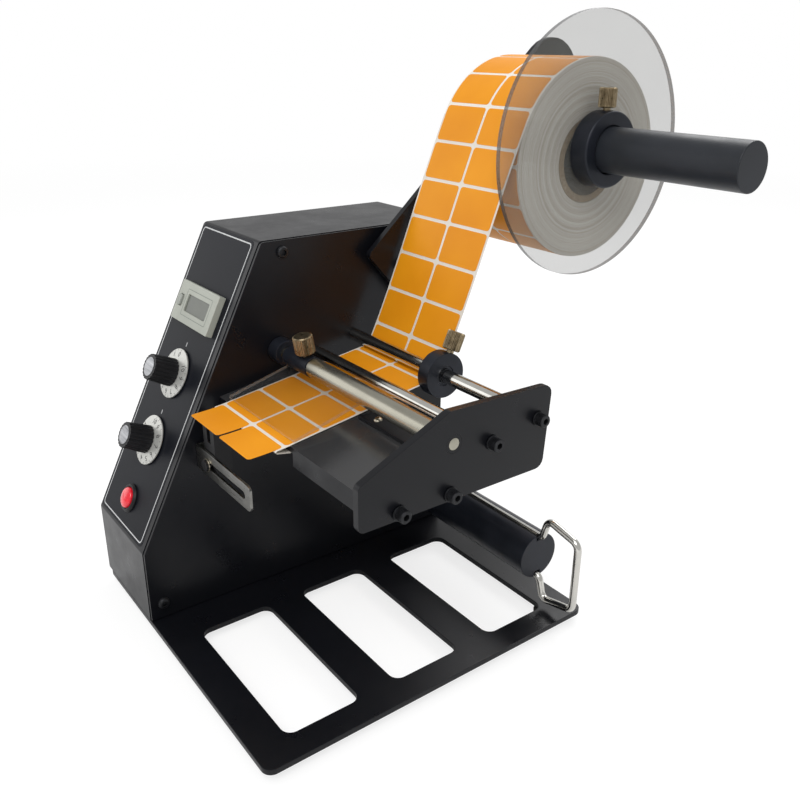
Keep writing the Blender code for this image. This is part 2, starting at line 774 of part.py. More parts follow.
def make_lamp(shell):
    place = (PANEL_CENTRE_X, LAMP_HEIGHT, 0)
    bore = LAMP_BARREL_RADIUS - LAMP_WALL
    ring = [
        (LAMP_BARREL_RADIUS, GAP),
        (LAMP_RING_RADIUS, GAP),
        (LAMP_RING_RADIUS, LAMP_RING_PROUD / 2),
        (LAMP_RING_RADIUS - LAMP_WALL, LAMP_RING_PROUD),
        (bore, LAMP_RING_PROUD),
        (bore, LAMP_WALL - LAMP_BARREL_DEPTH),
        (0, LAMP_WALL - LAMP_BARREL_DEPTH),
        (0, -LAMP_BARREL_DEPTH),
        (LAMP_BARREL_RADIUS, -LAMP_BARREL_DEPTH),
    ]
    add("lamp_bezel", turned(ring, "Z", ROUND_MEDIUM, closed=True), BLACK_PLASTIC, panel, place)
    radius = bore - GAP
    low = LAMP_WALL + GAP - LAMP_BARREL_DEPTH
    lens = [(0, low), (radius, low)]
    for step in range(ARC_STEPS + 1):
        turn = math.pi / 2 * step / ARC_STEPS
        lens.append((radius * math.cos(turn), LAMP_RING_PROUD + LENS_DOME * math.sin(turn)))
    lens[-1] = (0, LAMP_RING_PROUD + LENS_DOME)
    add("lamp_lens", turned(lens, "Z", ROUND_MEDIUM), RED_LENS, panel, place)
    hole = LAMP_BARREL_RADIUS + SCREW_HOLE_CLEARANCE
    low = -SHELL_SHEET - OVERRUN
    drill("lamp_cut", hole, low, OVERRUN, "Z", panel, place, (shell,))


def make_control_board():
    """A board behind the panel, with the two potentiometers and their shafts on it."""
    left = CAVITY_LEFT + BOARD_MARGIN
    right = SHELL_RIGHT - SHELL_FLANGE
    board = add(
        "control_board",
        prism(
            box_outline(left, right, BOARD_LOW, BOARD_HIGH, COUNTER_CORNER),
            -BOARD_DEPTH - BOARD_SHEET,
            -BOARD_DEPTH,
            "Z",
        ),
        GREEN_BOARD,
        panel,
    )
    pot_top = -SHELL_SHEET - GAP
    pot = [
        (0, -BOARD_DEPTH - BOARD_SHEET / 2),
        (POT_RADIUS, -BOARD_DEPTH - BOARD_SHEET / 2),
        (POT_RADIUS, pot_top - SHELL_SHEET),
        (POT_BUSH_RADIUS, pot_top - SHELL_SHEET),
        (POT_BUSH_RADIUS, 0),
        (SHAFT_RADIUS, 0),
        (SHAFT_RADIUS, SHAFT_RISE),
        (0, SHAFT_RISE),
    ]
    for name, height in (("length", LENGTH_KNOB_HEIGHT), ("speed", SPEED_KNOB_HEIGHT)):
        shape = turned(pot, "Z", ROUND_SMALL)
        tool = add(f"{name}_pot_join", shape, STEEL, panel, (PANEL_CENTRE_X, height, 0))
        change(board, tool, "UNION")


# Rear inlet and rocker switch
def make_inlet(shell):
    centre = (-BOX_WIDTH / 2, BOX_DEPTH, INLET_CENTRE_HEIGHT)
    half_width = INLET_WIDTH / 2
    half_height = INLET_HEIGHT / 2
    flange = add(
        "power_inlet",
        prism(
            box_outline(-half_width, half_width, -half_height, half_height, INLET_CORNER),
            GAP,
            INLET_PROUD,
            "Y",
        ),
        BLACK_PLASTIC,
        place=centre,
    )
    case_width = half_width - INLET_CASE_INSET
    case_height = half_height - INLET_CASE_INSET
    case = prism(
        box_outline(-case_width, case_width, -case_height, case_height, INLET_CORNER),
        -INLET_CASE_DEPTH,
        INLET_PROUD / 2,
        "Y",
    )
    change(flange, add("inlet_case_join", case, BLACK_PLASTIC, place=centre), "UNION")
    socket = prism(
        box_outline(
            -SOCKET_WIDTH / 2,
            SOCKET_WIDTH / 2,
            SOCKET_SHIFT - SOCKET_HEIGHT / 2,
            SOCKET_SHIFT + SOCKET_HEIGHT / 2,
            SOCKET_CORNER,
        ),
        INLET_PROUD - SOCKET_DEPTH,
        INLET_PROUD + OVERRUN,
        "Y",
    )
    change(flange, add("inlet_socket_cut", socket, BLACK_PLASTIC, place=centre), "DIFFERENCE")
    swing = math.hypot(ROCKER_HALF_HEIGHT, ROCKER_PROUD) + ROCKER_CLEARANCE
    well = prism(
        box_outline(
            -ROCKER_WIDTH / 2 - GAP,
            ROCKER_WIDTH / 2 + GAP,
            ROCKER_SHIFT - swing,
            ROCKER_SHIFT + swing,
            0,
        ),
        INLET_PROUD - ROCKER_WELL_DEPTH,
        INLET_PROUD + OVERRUN,
        "Y",
    )
    change(flange, add("inlet_well_cut", well, BLACK_PLASTIC, place=centre), "DIFFERENCE")
    face = [
        (ROCKER_PROUD, ROCKER_HALF_HEIGHT),
        (0, 0),
        (ROCKER_PROUD, -ROCKER_HALF_HEIGHT),
        (-ROCKER_DIP, -ROCKER_HALF_HEIGHT),
        (-ROCKER_DEPTH, 0),
        (-ROCKER_DIP, ROCKER_HALF_HEIGHT),
    ]
    pivot = (centre[0], BOX_DEPTH + INLET_PROUD, INLET_CENTRE_HEIGHT + ROCKER_SHIFT)
    add(
        "power_rocker",
        prism(face, -ROCKER_WIDTH / 2, ROCKER_WIDTH / 2, "X"),
        BLACK_PLASTIC,
        place=pivot,
        turn=(-ROCKER_TILT, 0, 0),
    )
    opening = prism(
        box_outline(
            -case_width - GAP,
            case_width + GAP,
            -case_height - GAP,
            case_height + GAP,
            INLET_CORNER,
        ),
        -SHELL_SHEET - OVERRUN,
        OVERRUN,
        "Y",
    )
    change(shell, add("inlet_opening_cut", opening, BLACK_PAINT, place=centre), "DIFFERENCE")


# Drive
def make_motor():
    bore = SHAFT_RADIUS + GAP
    gearbox_rear = -MOTOR_GEARBOX_LENGTH
    profile = [
        (bore, MOTOR_BOSS_LENGTH),
        (MOTOR_BOSS_RADIUS, MOTOR_BOSS_LENGTH),
        (MOTOR_BOSS_RADIUS, 0),
        (MOTOR_GEARBOX_RADIUS, 0),
        (MOTOR_GEARBOX_RADIUS, gearbox_rear),
        (MOTOR_RADIUS, gearbox_rear),
        (MOTOR_RADIUS, gearbox_rear - MOTOR_LENGTH),
        (0, gearbox_rear - MOTOR_LENGTH),
        (0, gearbox_rear),
        (bore, gearbox_rear),
    ]
    place = (MOTOR_FACE, MOTOR_Y, MOTOR_Z)
    add("drive_motor", turned(profile, "X", ROUND_MEDIUM, closed=True), STEEL, place=place)


def pulley_profile(radius, low, high):
    """Points of a grooved rim between two distances along the shaft, lips at both ends."""
    return [
        (radius + PULLEY_LIP, low),
        (radius + PULLEY_LIP, low + PULLEY_LIP_WIDTH),
        (radius, low + PULLEY_LIP_WIDTH),
        (radius, high - PULLEY_LIP_WIDTH),
        (radius + PULLEY_LIP, high - PULLEY_LIP_WIDTH),
        (radius + PULLEY_LIP, high),
    ]


def make_pulleys():
    """Pulleys are placed at the inner end of the belts' space, each on its own shaft's axis."""
    bore = SHAFT_RADIUS + GAP
    shaft_end = MOTOR_FACE - BELT_OUTER_X - MOTOR_GEARBOX_LENGTH + GAP
    rim = pulley_profile(MOTOR_PULLEY_RADIUS, 0, PULLEY_WIDTH)
    motor_pulley = [(0, shaft_end), (SHAFT_RADIUS, shaft_end), (SHAFT_RADIUS, 0)]
    motor_pulley += rim + [(0, PULLEY_WIDTH)]
    place = (BELT_OUTER_X, MOTOR_Y, MOTOR_Z)
    add("motor_pulley", turned(motor_pulley, "X", ROUND_SMALL), BLACK_PLASTIC, place=place)
    inner = pulley_profile(DRIVE_PULLEY_RADIUS, 0, PULLEY_WIDTH)
    outer = pulley_profile(DRIVE_PULLEY_RADIUS, PULLEY_WIDTH, 2 * PULLEY_WIDTH)
    drive = [(bore, 0)] + inner[:-1] + outer[1:] + [(bore, 2 * PULLEY_WIDTH)]
    place = (BELT_OUTER_X, FEED_ROLLER_Y, FEED_ROLLER_Z)
    shape = turned(drive, "X", ROUND_MEDIUM, closed=True)
    add("drive_pulley", shape, BLACK_PLASTIC, place=place)
    bore = TAKE_UP_SHAFT_RADIUS + GAP
    rim = pulley_profile(TAKE_UP_PULLEY_RADIUS, 0, PULLEY_WIDTH)
    take_up = [(bore, 0)] + rim + [(bore, PULLEY_WIDTH)]
    place = (BELT_INNER_X, TAKE_UP_Y, TAKE_UP_Z)
    shape = turned(take_up, "X", ROUND_MEDIUM, closed=True)
    add("take_up_pulley", shape, BLACK_PLASTIC, place=place)


def belt_loop(first, first_radius, second, second_radius):
    """The outline of a belt round two pulleys, as half a turn and the rest on each."""
    start = Vector(first)
    end = Vector(second)
    line = end - start
    heading = math.atan2(line.y, line.x)
    lean = math.asin((first_radius - second_radius) / line.length)
    points = []
    for centre, radius, begin, sweep in (
        (end, second_radius, heading - math.pi / 2 + lean, math.pi - 2 * lean),
        (start, first_radius, heading + math.pi / 2 - lean, math.pi + 2 * lean),
    ):
        for step in range(ROUND_SMALL // 2 + 1):
            turn = begin + sweep * step / (ROUND_SMALL // 2)
            points.append(
                (centre.x + radius * math.cos(turn), centre.y + radius * math.sin(turn))
            )
    return points


def make_belts():
    drive = (FEED_ROLLER_Y, FEED_ROLLER_Z)
    margin = (PULLEY_WIDTH - BELT_WIDTH) / 2
    for name, other, radius, low in (
        ("drive_belt", (MOTOR_Y, MOTOR_Z), MOTOR_PULLEY_RADIUS, BELT_OUTER_X + margin),
        ("take_up_belt", (TAKE_UP_Y, TAKE_UP_Z), TAKE_UP_PULLEY_RADIUS, BELT_INNER_X + margin),
    ):
        inner = belt_loop(drive, DRIVE_PULLEY_RADIUS + GAP, other, radius + GAP)
        thick = GAP + BELT_THICKNESS
        outer = belt_loop(drive, DRIVE_PULLEY_RADIUS + thick, other, radius + thick)
        add(name, band(outer, inner, low, low + BELT_WIDTH, "X"), RUBBER)


# Feed rollers: a driven rubber roller and a pinch roller under the platform
def make_feed_rollers(side, bed):
    low = WEB_START - FEED_ROLLER_MARGIN
    high = WEB_END + FEED_ROLLER_MARGIN
    shaft_end = RODS_END - BEARING_CLEARANCE
    roller = [
        (0, BELT_OUTER_X),
        (SHAFT_RADIUS, BELT_OUTER_X),
        (SHAFT_RADIUS, low),
        (FEED_ROLLER_RADIUS, low),
        (FEED_ROLLER_RADIUS, high),
        (SHAFT_RADIUS, high),
        (SHAFT_RADIUS, shaft_end),
        (0, shaft_end),
    ]
    place = (0, FEED_ROLLER_Y, FEED_ROLLER_Z)
    add("feed_roller", turned(roller, "X", ROUND_MEDIUM), RUBBER, place=place)
    hole = SHAFT_RADIUS + BEARING_CLEARANCE
    cut_low = -SIDE_SHEET - OVERRUN
    cut_high = LABEL_BAY + OVERRUN
    drill("feed_shaft_cut", hole, cut_low, cut_high, "X", machine, place, (side, bed))
    start = GAP + BEARING_CLEARANCE
    pinch = [
        (0, start),
        (PINCH_SHAFT_RADIUS, start),
        (PINCH_SHAFT_RADIUS, low),
        (PINCH_ROLLER_RADIUS, low),
        (PINCH_ROLLER_RADIUS, high),
        (PINCH_SHAFT_RADIUS, high),
        (PINCH_SHAFT_RADIUS, shaft_end),
        (0, shaft_end),
    ]
    place = (0, PINCH_ROLLER_Y, FEED_ROLLER_Z)
    add("pinch_roller", turned(pinch, "X", ROUND_SMALL), STEEL, place=place)
    hole = PINCH_SHAFT_RADIUS + BEARING_CLEARANCE
    drill("pinch_shaft_cut", hole, 0, cut_high, "X", machine, place, (bed,))


# Peel platform: a folded plate whose front edge peels the labels, with a notch for the liner
def make_platform():
    rear = PEEL_EDGE_Y + PLATFORM_LENGTH * SLOPE_COS
    low = PEEL_EDGE_Z - PLATFORM_SKIRT
    corners = [
        (PEEL_EDGE_Y, low),
        (rear, low),
        (rear, platform_z(rear)),
        (PEEL_EDGE_Y, PEEL_EDGE_Z),
    ]
    right = RODS_END
    bed = add("peel_platform", prism(corners, GAP, right, "X"), BLACK_PAINT)
    front = PEEL_EDGE_Y + PLATFORM_SHEET
    drop = PLATFORM_SHEET / SLOPE_COS
    hollow = [
        (front, low - OVERRUN),
        (rear + OVERRUN, low - OVERRUN),
        (rear + OVERRUN, platform_z(rear + OVERRUN) - drop),
        (front, platform_z(front) - drop),
    ]
    tool = prism(hollow, GAP + PLATFORM_SHEET, right - PLATFORM_SHEET, "X")
    change(bed, add("platform_hollow_cut", tool, BLACK_PAINT), "DIFFERENCE")
    ahead = PEEL_EDGE_Y - OVERRUN
    notch = [
        (ahead, low - OVERRUN),
        (front + OVERRUN, low - OVERRUN),
        (front + OVERRUN, platform_z(front + OVERRUN) - drop),
        (ahead, platform_z(ahead) - drop),
    ]
    tool = prism(notch, WEB_START - NOTCH_MARGIN, WEB_END + NOTCH_MARGIN, "X")
    change(bed, add("liner_notch_cut", tool, BLACK_PAINT), "DIFFERENCE")
    return bed


def make_edge_guide(bed):
    """A low bar beside the web, drilled for one screw; its end by the web is drawn to a point."""
    left = WEB_END + EDGE_GUIDE_MARGIN
    right = RODS_END - GAP
    rear = EDGE_GUIDE_FRONT + EDGE_GUIDE_DEPTH
    outline = [
        (left, EDGE_GUIDE_FRONT),
        (right, EDGE_GUIDE_FRONT),
        (right, rear),
        (left + EDGE_GUIDE_POINT, rear),
    ]
    height = GAP + EDGE_GUIDE_HEIGHT
    guide = add("web_edge_guide", prism(outline, GAP, height, "Z"), BLACK_PAINT, platform)
    place = (left + EDGE_GUIDE_SCREW, EDGE_GUIDE_FRONT + EDGE_GUIDE_SCREW_SETBACK, 0)
    hole = SCREW_RADIUS + SCREW_HOLE_CLEARANCE
    low = -PLATFORM_SHEET - OVERRUN
    high = height + OVERRUN
    drill("edge_guide_cut", hole, low, high, "Z", platform, place, (bed, guide))


# Rods
def make_rods():
    """Two plain rods, tapped at their right ends for the cap screws."""
    bore = CAP_SCREW_RADIUS + GAP
    deep = RODS_END - CAP_SCREW_DEPTH
    profile = [
        (0, GAP),
        (ROD_RADIUS, GAP),
        (ROD_RADIUS, RODS_END),
        (bore, RODS_END),
        (bore, deep),
        (0, deep),
    ]
    for name, y, z in (
        ("middle_rod", MIDDLE_ROD_Y, MIDDLE_ROD_Z),
        ("rear_rod", REAR_ROD_Y, REAR_ROD_Z),
    ):
        add(name, turned(profile, "X", ROUND_SMALL), CHROME, place=(0, y, z))


def make_front_bar():
    """A fixed bar, thinner at its ends: one in a boss on the box, one flush in the outer plate."""
    place = (0, FRONT_BAR_Y, FRONT_BAR_Z)
    shoulder = COVER_HUB_START + COVER_HUB_LENGTH + GAP
    bar = [
        (0, GAP),
        (FRONT_BAR_END_RADIUS, GAP),
        (FRONT_BAR_END_RADIUS, shoulder),
        (FRONT_BAR_RADIUS, shoulder),
        (FRONT_BAR_RADIUS, RODS_END),
        (FRONT_BAR_END_RADIUS, RODS_END),
        (FRONT_BAR_END_RADIUS, PLATE_FACE),
        (0, PLATE_FACE),
    ]
    add("front_bar", turned(bar, "X", ROUND_MEDIUM), CHROME, place=place)
    bore = FRONT_BAR_END_RADIUS + SLIDE_CLEARANCE
    boss = [
        (bore, GAP),
        (BOSS_RADIUS, GAP),
        (BOSS_RADIUS, BOSS_LENGTH - BOSS_CHAMFER),
        (BOSS_RADIUS - BOSS_CHAMFER, BOSS_LENGTH),
        (bore, BOSS_LENGTH),
    ]
    shape = turned(boss, "X", ROUND_MEDIUM, closed=True)
    add("bar_boss", shape, BLACK_ANODISED, place=place)


def make_thumbscrew(name, centre, tilt, bore, radius, collar, head_radius=THUMB_HEAD_RADIUS):
    """A knurled screw standing on a collar, its tip just clear of the shaft inside."""
    tip = bore + GAP
    head = radius + THUMB_STEM_SHOW
    top = head + THUMB_HEAD_LENGTH
    profile = [
        (0, tip),
        (THUMB_STEM_RADIUS, tip),
        (THUMB_STEM_RADIUS, head),
        (head_radius - THUMB_BEVEL, head),
        (head_radius, head + THUMB_BEVEL),
        (head_radius, top - THUMB_BEVEL),
        (head_radius - THUMB_BEVEL, top),
        (0, top),
    ]
    turn = (-tilt, 0, 0)
    add(name, turned(profile, "Z", ROUND_SMALL), NICKEL, machine, centre, turn)
    hole = THUMB_STEM_RADIUS + GAP
    shape = turned([(0, 0), (hole, 0), (hole, top), (0, top)], "Z", ROUND_SMALL)
    tool = add(f"{name}_cut", shape, BLACK_PAINT, machine, centre, turn)
    change(collar, tool, "DIFFERENCE")


def make_guide_collar():
    """The collar that holds the web's right edge on the rear rod."""
    bore = ROD_RADIUS + SLIDE_CLEARANCE
    end = COLLAR_START + GUIDE_COLLAR_LENGTH
    profile = [
        (bore, COLLAR_START),
        (GUIDE_COLLAR_RADIUS - GUIDE_COLLAR_CHAMFER, COLLAR_START),
        (GUIDE_COLLAR_RADIUS, COLLAR_START + GUIDE_COLLAR_CHAMFER),
        (GUIDE_COLLAR_RADIUS, end - GUIDE_COLLAR_CHAMFER),
        (GUIDE_COLLAR_RADIUS - GUIDE_COLLAR_CHAMFER, end),
        (GUIDE_COLLAR_RECESS_RADIUS, end),
        (GUIDE_COLLAR_RECESS_RADIUS, end - GUIDE_COLLAR_RECESS),
        (bore, end - GUIDE_COLLAR_RECESS),
    ]
    place = (0, REAR_ROD_Y, REAR_ROD_Z)
    shape = turned(profile, "X", ROUND_MEDIUM, closed=True)
    collar = add("guide_collar", shape, BLACK_ANODISED, place=place)
    centre = (COLLAR_START + THUMB_HEAD_RADIUS + GAP, REAR_ROD_Y, REAR_ROD_Z)
    make_thumbscrew(
        "guide_thumbscrew", centre, GUIDE_THUMB_TILT, bore, GUIDE_COLLAR_RADIUS, collar
    )


# Clear cover over the web; it lifts about the front bar with its hub, which a thumbscrew locks
def make_cover():
    place = (0, FRONT_BAR_Y, FRONT_BAR_Z)
    bore = FRONT_BAR_END_RADIUS + SLIDE_CLEARANCE
    hub_end = COVER_HUB_START + COVER_HUB_LENGTH
    ring = [
        (bore, COVER_HUB_START),
        (COVER_HUB_RADIUS, COVER_HUB_START),
        (COVER_HUB_RADIUS, hub_end),
        (bore, hub_end),
    ]
    shape = turned(ring, "X", ROUND_MEDIUM, closed=True)
    hub = add("cover_hub", shape, BLACK_ANODISED, place=place)
    along = COVER_HUB_START + COVER_HUB_LENGTH * COVER_THUMB_SHARE
    centre = (along, FRONT_BAR_Y, FRONT_BAR_Z)
    make_thumbscrew(
        "cover_thumbscrew",
        centre,
        COVER_THUMB_TILT,
        bore,
        COVER_HUB_RADIUS,
        hub,
        COVER_THUMB_HEAD_RADIUS,
    )
    front_y = PEEL_EDGE_Y + COVER_SET_BACK
    stack = (2 * GAP + WEB_THICKNESS + COVER_LIFT + COVER_SHEET) / SLOPE_COS
    front = Vector((front_y - FRONT_BAR_Y, platform_z(front_y) + stack - FRONT_BAR_Z))
    reach = COVER_HUB_RADIUS + GAP
    lean = math.acos(reach / front.length)
    heading = math.atan2(front.y, front.x) + lean
    toward = Vector((math.cos(heading), math.sin(heading)))
    touch = toward * reach
    along_cover = (touch - front).normalized()
    rear = touch + along_cover * COVER_TAIL
    down = toward * COVER_SHEET
    outline = [tuple(point) for point in (front, rear, rear + down, front + down)]
    shape = prism(outline, BOSS_LENGTH + GAP, WEB_END + COVER_OVERHANG, "X")
    add("clear_cover", shape, CLEAR_ACRYLIC, place=place)


# Outer side plate and its cap screws
def make_outer_plate():
    corners = [
        (PLATE_FRONT_Y, PLATE_LOW_Z),
        (PLATE_REAR_Y - PLATE_REAR_LEAN, PLATE_LOW_Z),
        (PLATE_REAR_Y, PLATE_LOW_Z + PLATE_REAR_TOP),
        (PLATE_FRONT_Y + PLATE_PEAK_SETBACK, PLATE_LOW_Z + PLATE_PEAK_TOP),
        (PLATE_FRONT_Y, PLATE_LOW_Z + PLATE_FRONT_TOP),
    ]
    radii = [PLATE_FRONT_CORNER, PLATE_CORNER, PLATE_CORNER, PLATE_FRONT_CORNER, PLATE_FRONT_CORNER]
    plate = add(
        "outer_plate",
        prism(rounded(corners, radii), LABEL_BAY, PLATE_FACE, "X"),
        BLACK_PAINT,
    )
    place = (0, FRONT_BAR_Y, FRONT_BAR_Z)
    hole = FRONT_BAR_END_RADIUS + GAP
    low = LABEL_BAY - OVERRUN
    high = PLATE_FACE + OVERRUN
    drill("bar_end_cut", hole, low, high, "X", machine, place, (plate,))
    return plate


def make_plate_screws(plate, bed):
    head_low = PLATE_FACE + GAP
    head_high = head_low + CAP_SCREW_WASHER + CAP_SCREW_HEAD_HEIGHT
    tail = RODS_END - CAP_SCREW_DEPTH + GAP
    profile = [
        (0, tail),
        (CAP_SCREW_RADIUS, tail),
        (CAP_SCREW_RADIUS, head_low),
        (CAP_SCREW_WASHER_RADIUS, head_low),
        (CAP_SCREW_WASHER_RADIUS, head_low + CAP_SCREW_WASHER),
        (CAP_SCREW_HEAD_RADIUS, head_low + CAP_SCREW_WASHER),
        (CAP_SCREW_HEAD_RADIUS, head_high),
        (HEX_SOCKET_RADIUS, head_high),
        (HEX_SOCKET_RADIUS, head_high - HEX_SOCKET_DEPTH),
        (0, head_high - HEX_SOCKET_DEPTH),
    ]
    low_screw_z = PLATE_LOW_Z + PLATE_SCREW_RISE
    hole = CAP_SCREW_RADIUS + GAP
    for name, y, z, pieces in (
        ("rear", REAR_ROD_Y, REAR_ROD_Z, (plate,)),
        ("middle", MIDDLE_ROD_Y, MIDDLE_ROD_Z, (plate,)),
        ("low_rear", PLATE_SCREW_REAR_Y, low_screw_z, (plate, bed)),
        ("low_front", PLATE_SCREW_FRONT_Y, low_screw_z, (plate, bed)),
    ):
        shape = turned(profile, "X", ROUND_SMALL)
        add(f"plate_screw_{name}", shape, BLACK_SCREW, place=(0, y, z))
        drill(f"plate_screw_{name}_cut", hole, tail, head_low, "X", machine, (0, y, z), pieces)


# Roll arm, spindle, disc and hub
def make_arm():
    """A bar that crosses the spindle, square at its foot and round at its head."""
    corners = [
        (-ARM_TAIL, ARM_HALF_WIDTH),
        (-ARM_TAIL, -ARM_HALF_WIDTH),
        (ARM_HEAD, -ARM_HALF_WIDTH),
        (ARM_HEAD, ARM_HALF_WIDTH),
    ]
    outline = rounded(corners, [ARM_CORNER, ARM_CORNER, 0, 0])[:-1]
    for step in range(1, ROUND_SMALL + 1):
        turn = math.pi * step / ROUND_SMALL - math.pi / 2
        outline.append(
            (ARM_HEAD + ARM_HALF_WIDTH * math.cos(turn), ARM_HALF_WIDTH * math.sin(turn))
        )
    bar = add("roll_arm", prism(outline, ARM_STANDOFF, ARM_FRONT, "X"), BLACK_PAINT, arm)
    hole = SPINDLE_STUB_RADIUS + ARM_HOLE_CLEARANCE
    low = ARM_STANDOFF - OVERRUN
    high = ARM_FRONT + OVERRUN
    drill("spindle_stub_cut", hole, low, high, "X", arm, (0, 0, 0), (bar,))
    head_low = ARM_FRONT + GAP
    head_high = head_low + CAP_SCREW_HEAD_HEIGHT
    profile = [
        (0, GAP),
        (ARM_SPACER_RADIUS, GAP),
        (ARM_SPACER_RADIUS, ARM_STANDOFF - GAP),
        (CAP_SCREW_RADIUS, ARM_STANDOFF - GAP),
        (CAP_SCREW_RADIUS, head_low),
        (CAP_SCREW_HEAD_RADIUS, head_low),
        (CAP_SCREW_HEAD_RADIUS, head_high),
        (HEX_SOCKET_RADIUS, head_high),
        (HEX_SOCKET_RADIUS, head_high - HEX_SOCKET_DEPTH),
        (0, head_high - HEX_SOCKET_DEPTH),
    ]
    hole = CAP_SCREW_RADIUS + ARM_HOLE_CLEARANCE
    for name, share in zip(("low", "high"), ARM_STUD_SHARES):
        place = (0, -ARM_TAIL * share, 0)
        shape = turned(profile, "X", ROUND_SMALL)
        add(f"arm_stud_{name}", shape, BLACK_SCREW, arm, place)
        drill(f"arm_stud_{name}_cut", hole, low, high, "X", arm, place, (bar,))


def make_spindle():
    start = ARM_FRONT + GAP
    stub = start - SPINDLE_STUB_LENGTH
    profile = [
        (0, stub),
        (SPINDLE_STUB_RADIUS, stub),
        (SPINDLE_STUB_RADIUS, start),
        (SPINDLE_RADIUS, start),
        (SPINDLE_RADIUS, SPINDLE_REACH - SPINDLE_CHAMFER),
        (SPINDLE_RADIUS - SPINDLE_CHAMFER, SPINDLE_REACH),
        (0, SPINDLE_REACH),
    ]
    place = (0, SPINDLE_Y, SPINDLE_Z)
    add("roll_spindle", turned(profile, "X", ROUND_MEDIUM), GREY_PLASTIC, place=place)


def make_disc_and_hub():
    bore = SPINDLE_RADIUS + SLIDE_CLEARANCE
    place = (0, SPINDLE_Y, SPINDLE_Z)
    disc_end = DISC_START + DISC_SHEET
    disc = [
        (bore, DISC_START),
        (DISC_RADIUS - DISC_EDGE, DISC_START),
        (DISC_RADIUS, DISC_START + DISC_EDGE),
        (DISC_RADIUS, disc_end - DISC_EDGE),
        (DISC_RADIUS - DISC_EDGE, disc_end),
        (bore, disc_end),
    ]
    shape = turned(disc, "X", ROUND_LARGE, closed=True)
    add("clear_disc", shape, CLEAR_ACRYLIC, place=place)
    hub_end = HUB_START + HUB_LENGTH
    hub = [
        (bore, HUB_START),
        (HUB_RADIUS, HUB_START),
        (HUB_RADIUS, hub_end - HUB_CHAMFER),
        (HUB_RADIUS - HUB_CHAMFER, hub_end),
        (bore, hub_end),
    ]
    shape = turned(hub, "X", ROUND_MEDIUM, closed=True)
    collar = add("hub_collar", shape, BLACK_ANODISED, place=place)
    centre = (HUB_START + HUB_LENGTH / 2, SPINDLE_Y, SPINDLE_Z)
    make_thumbscrew("hub_thumbscrew", centre, 0, bore, HUB_RADIUS, collar)


# Label roll and the web that leaves it
def make_roll():
    place = (0, SPINDLE_Y, ROLL_Z)
    core = [
        (CORE_BORE, WEB_START),
        (CORE_RADIUS, WEB_START),
        (CORE_RADIUS, WEB_END),
        (CORE_BORE, WEB_END),
    ]
    shape = turned(core, "X", ROUND_MEDIUM, closed=True)
    add("roll_core", shape, BOARD_PAPER, place=place)
    paper = [
        (CORE_RADIUS + GAP, WEB_START),
        (ROLL_RADIUS, WEB_START),
        (ROLL_RADIUS, WEB_END),
        (CORE_RADIUS + GAP, WEB_END),
    ]
    shape = turned(paper, "X", ROUND_LARGE, closed=True)
    add("label_roll", shape, ORANGE_LABEL, place=place)


def arc(centre, radius, start, end, steps):
    """Points round a centre from one angle to another, both angles in radians."""
    points = []
    for step in range(steps + 1):
        turn = start + (end - start) * step / steps
        points.append(
            Vector((centre[0] + radius * math.cos(turn), centre[1] + radius * math.sin(turn)))
        )
    return points


def web_path():
    """The web's centre line from the roll, down round the rods, along the platform to its edge."""
    reach = ROLL_RADIUS + WEB_OFFSET
    end = Vector((SPINDLE_Y, ROLL_Z))
    end += reach * Vector((-math.sin(STRIP_ARRIVAL), math.cos(STRIP_ARRIVAL)))
    wrap = ROD_RADIUS + WEB_OFFSET
    rear = (REAR_ROD_Y, REAR_ROD_Z)
    start = Vector(rear)
    start += wrap * Vector((math.sin(STRIP_DEPARTURE), -math.cos(STRIP_DEPARTURE)))
    pull_low = Vector((math.cos(STRIP_DEPARTURE), math.sin(STRIP_DEPARTURE)))
    pull_high = Vector((math.cos(STRIP_ARRIVAL), math.sin(STRIP_ARRIVAL)))
    low = start + pull_low * STRIP_PULL
    high = end - pull_high * STRIP_PULL
    points = []
    for step in range(2 * ARC_STEPS + 1):
        t = 1 - step / (2 * ARC_STEPS)
        s = 1 - t
        points.append(s**3 * start + 3 * s**2 * t * low + 3 * s * t**2 * high + t**3 * end)
    run = Vector((REAR_ROD_Y - MIDDLE_ROD_Y, REAR_ROD_Z - MIDDLE_ROD_Z))
    slope = math.atan2(run.y, run.x)
    down = -math.pi / 2
    points += arc(rear, wrap, STRIP_DEPARTURE + down, slope + down, ARC_STEPS)[1:]
    under = wrap * Vector((math.sin(slope), -math.cos(slope)))
    points.append(Vector((MIDDLE_ROD_Y, MIDDLE_ROD_Z)) + under)
    lift = WEB_OFFSET / SLOPE_COS
    points.append(Vector((WEB_LANDING_Y, platform_z(WEB_LANDING_Y) + lift)))
    nose = PEEL_EDGE_Y - WEB_OFFSET
    points.append(Vector((nose, platform_z(nose) + lift)))
    return points


def liner_path():
    """The liner's centre line from under the peel edge, over the feed roller and down its nip."""
    nose = PEEL_EDGE_Y - WEB_OFFSET
    drop = (PLATFORM_SHEET + WEB_OFFSET) / SLOPE_COS
    under = Vector((nose, platform_z(nose) - drop))
    wrap = FEED_ROLLER_RADIUS + WEB_OFFSET
    centre = Vector((FEED_ROLLER_Y, FEED_ROLLER_Z))
    line = centre - under
    lean = math.asin(wrap / line.length)
    touch = math.atan2(line.y, line.x) + lean + math.pi / 2
    points = [under] + arc(centre, wrap, touch, 0, 2 * ARC_STEPS)
    points.append(points[-1] + Vector((0, -LINER_TAIL)))
    return points


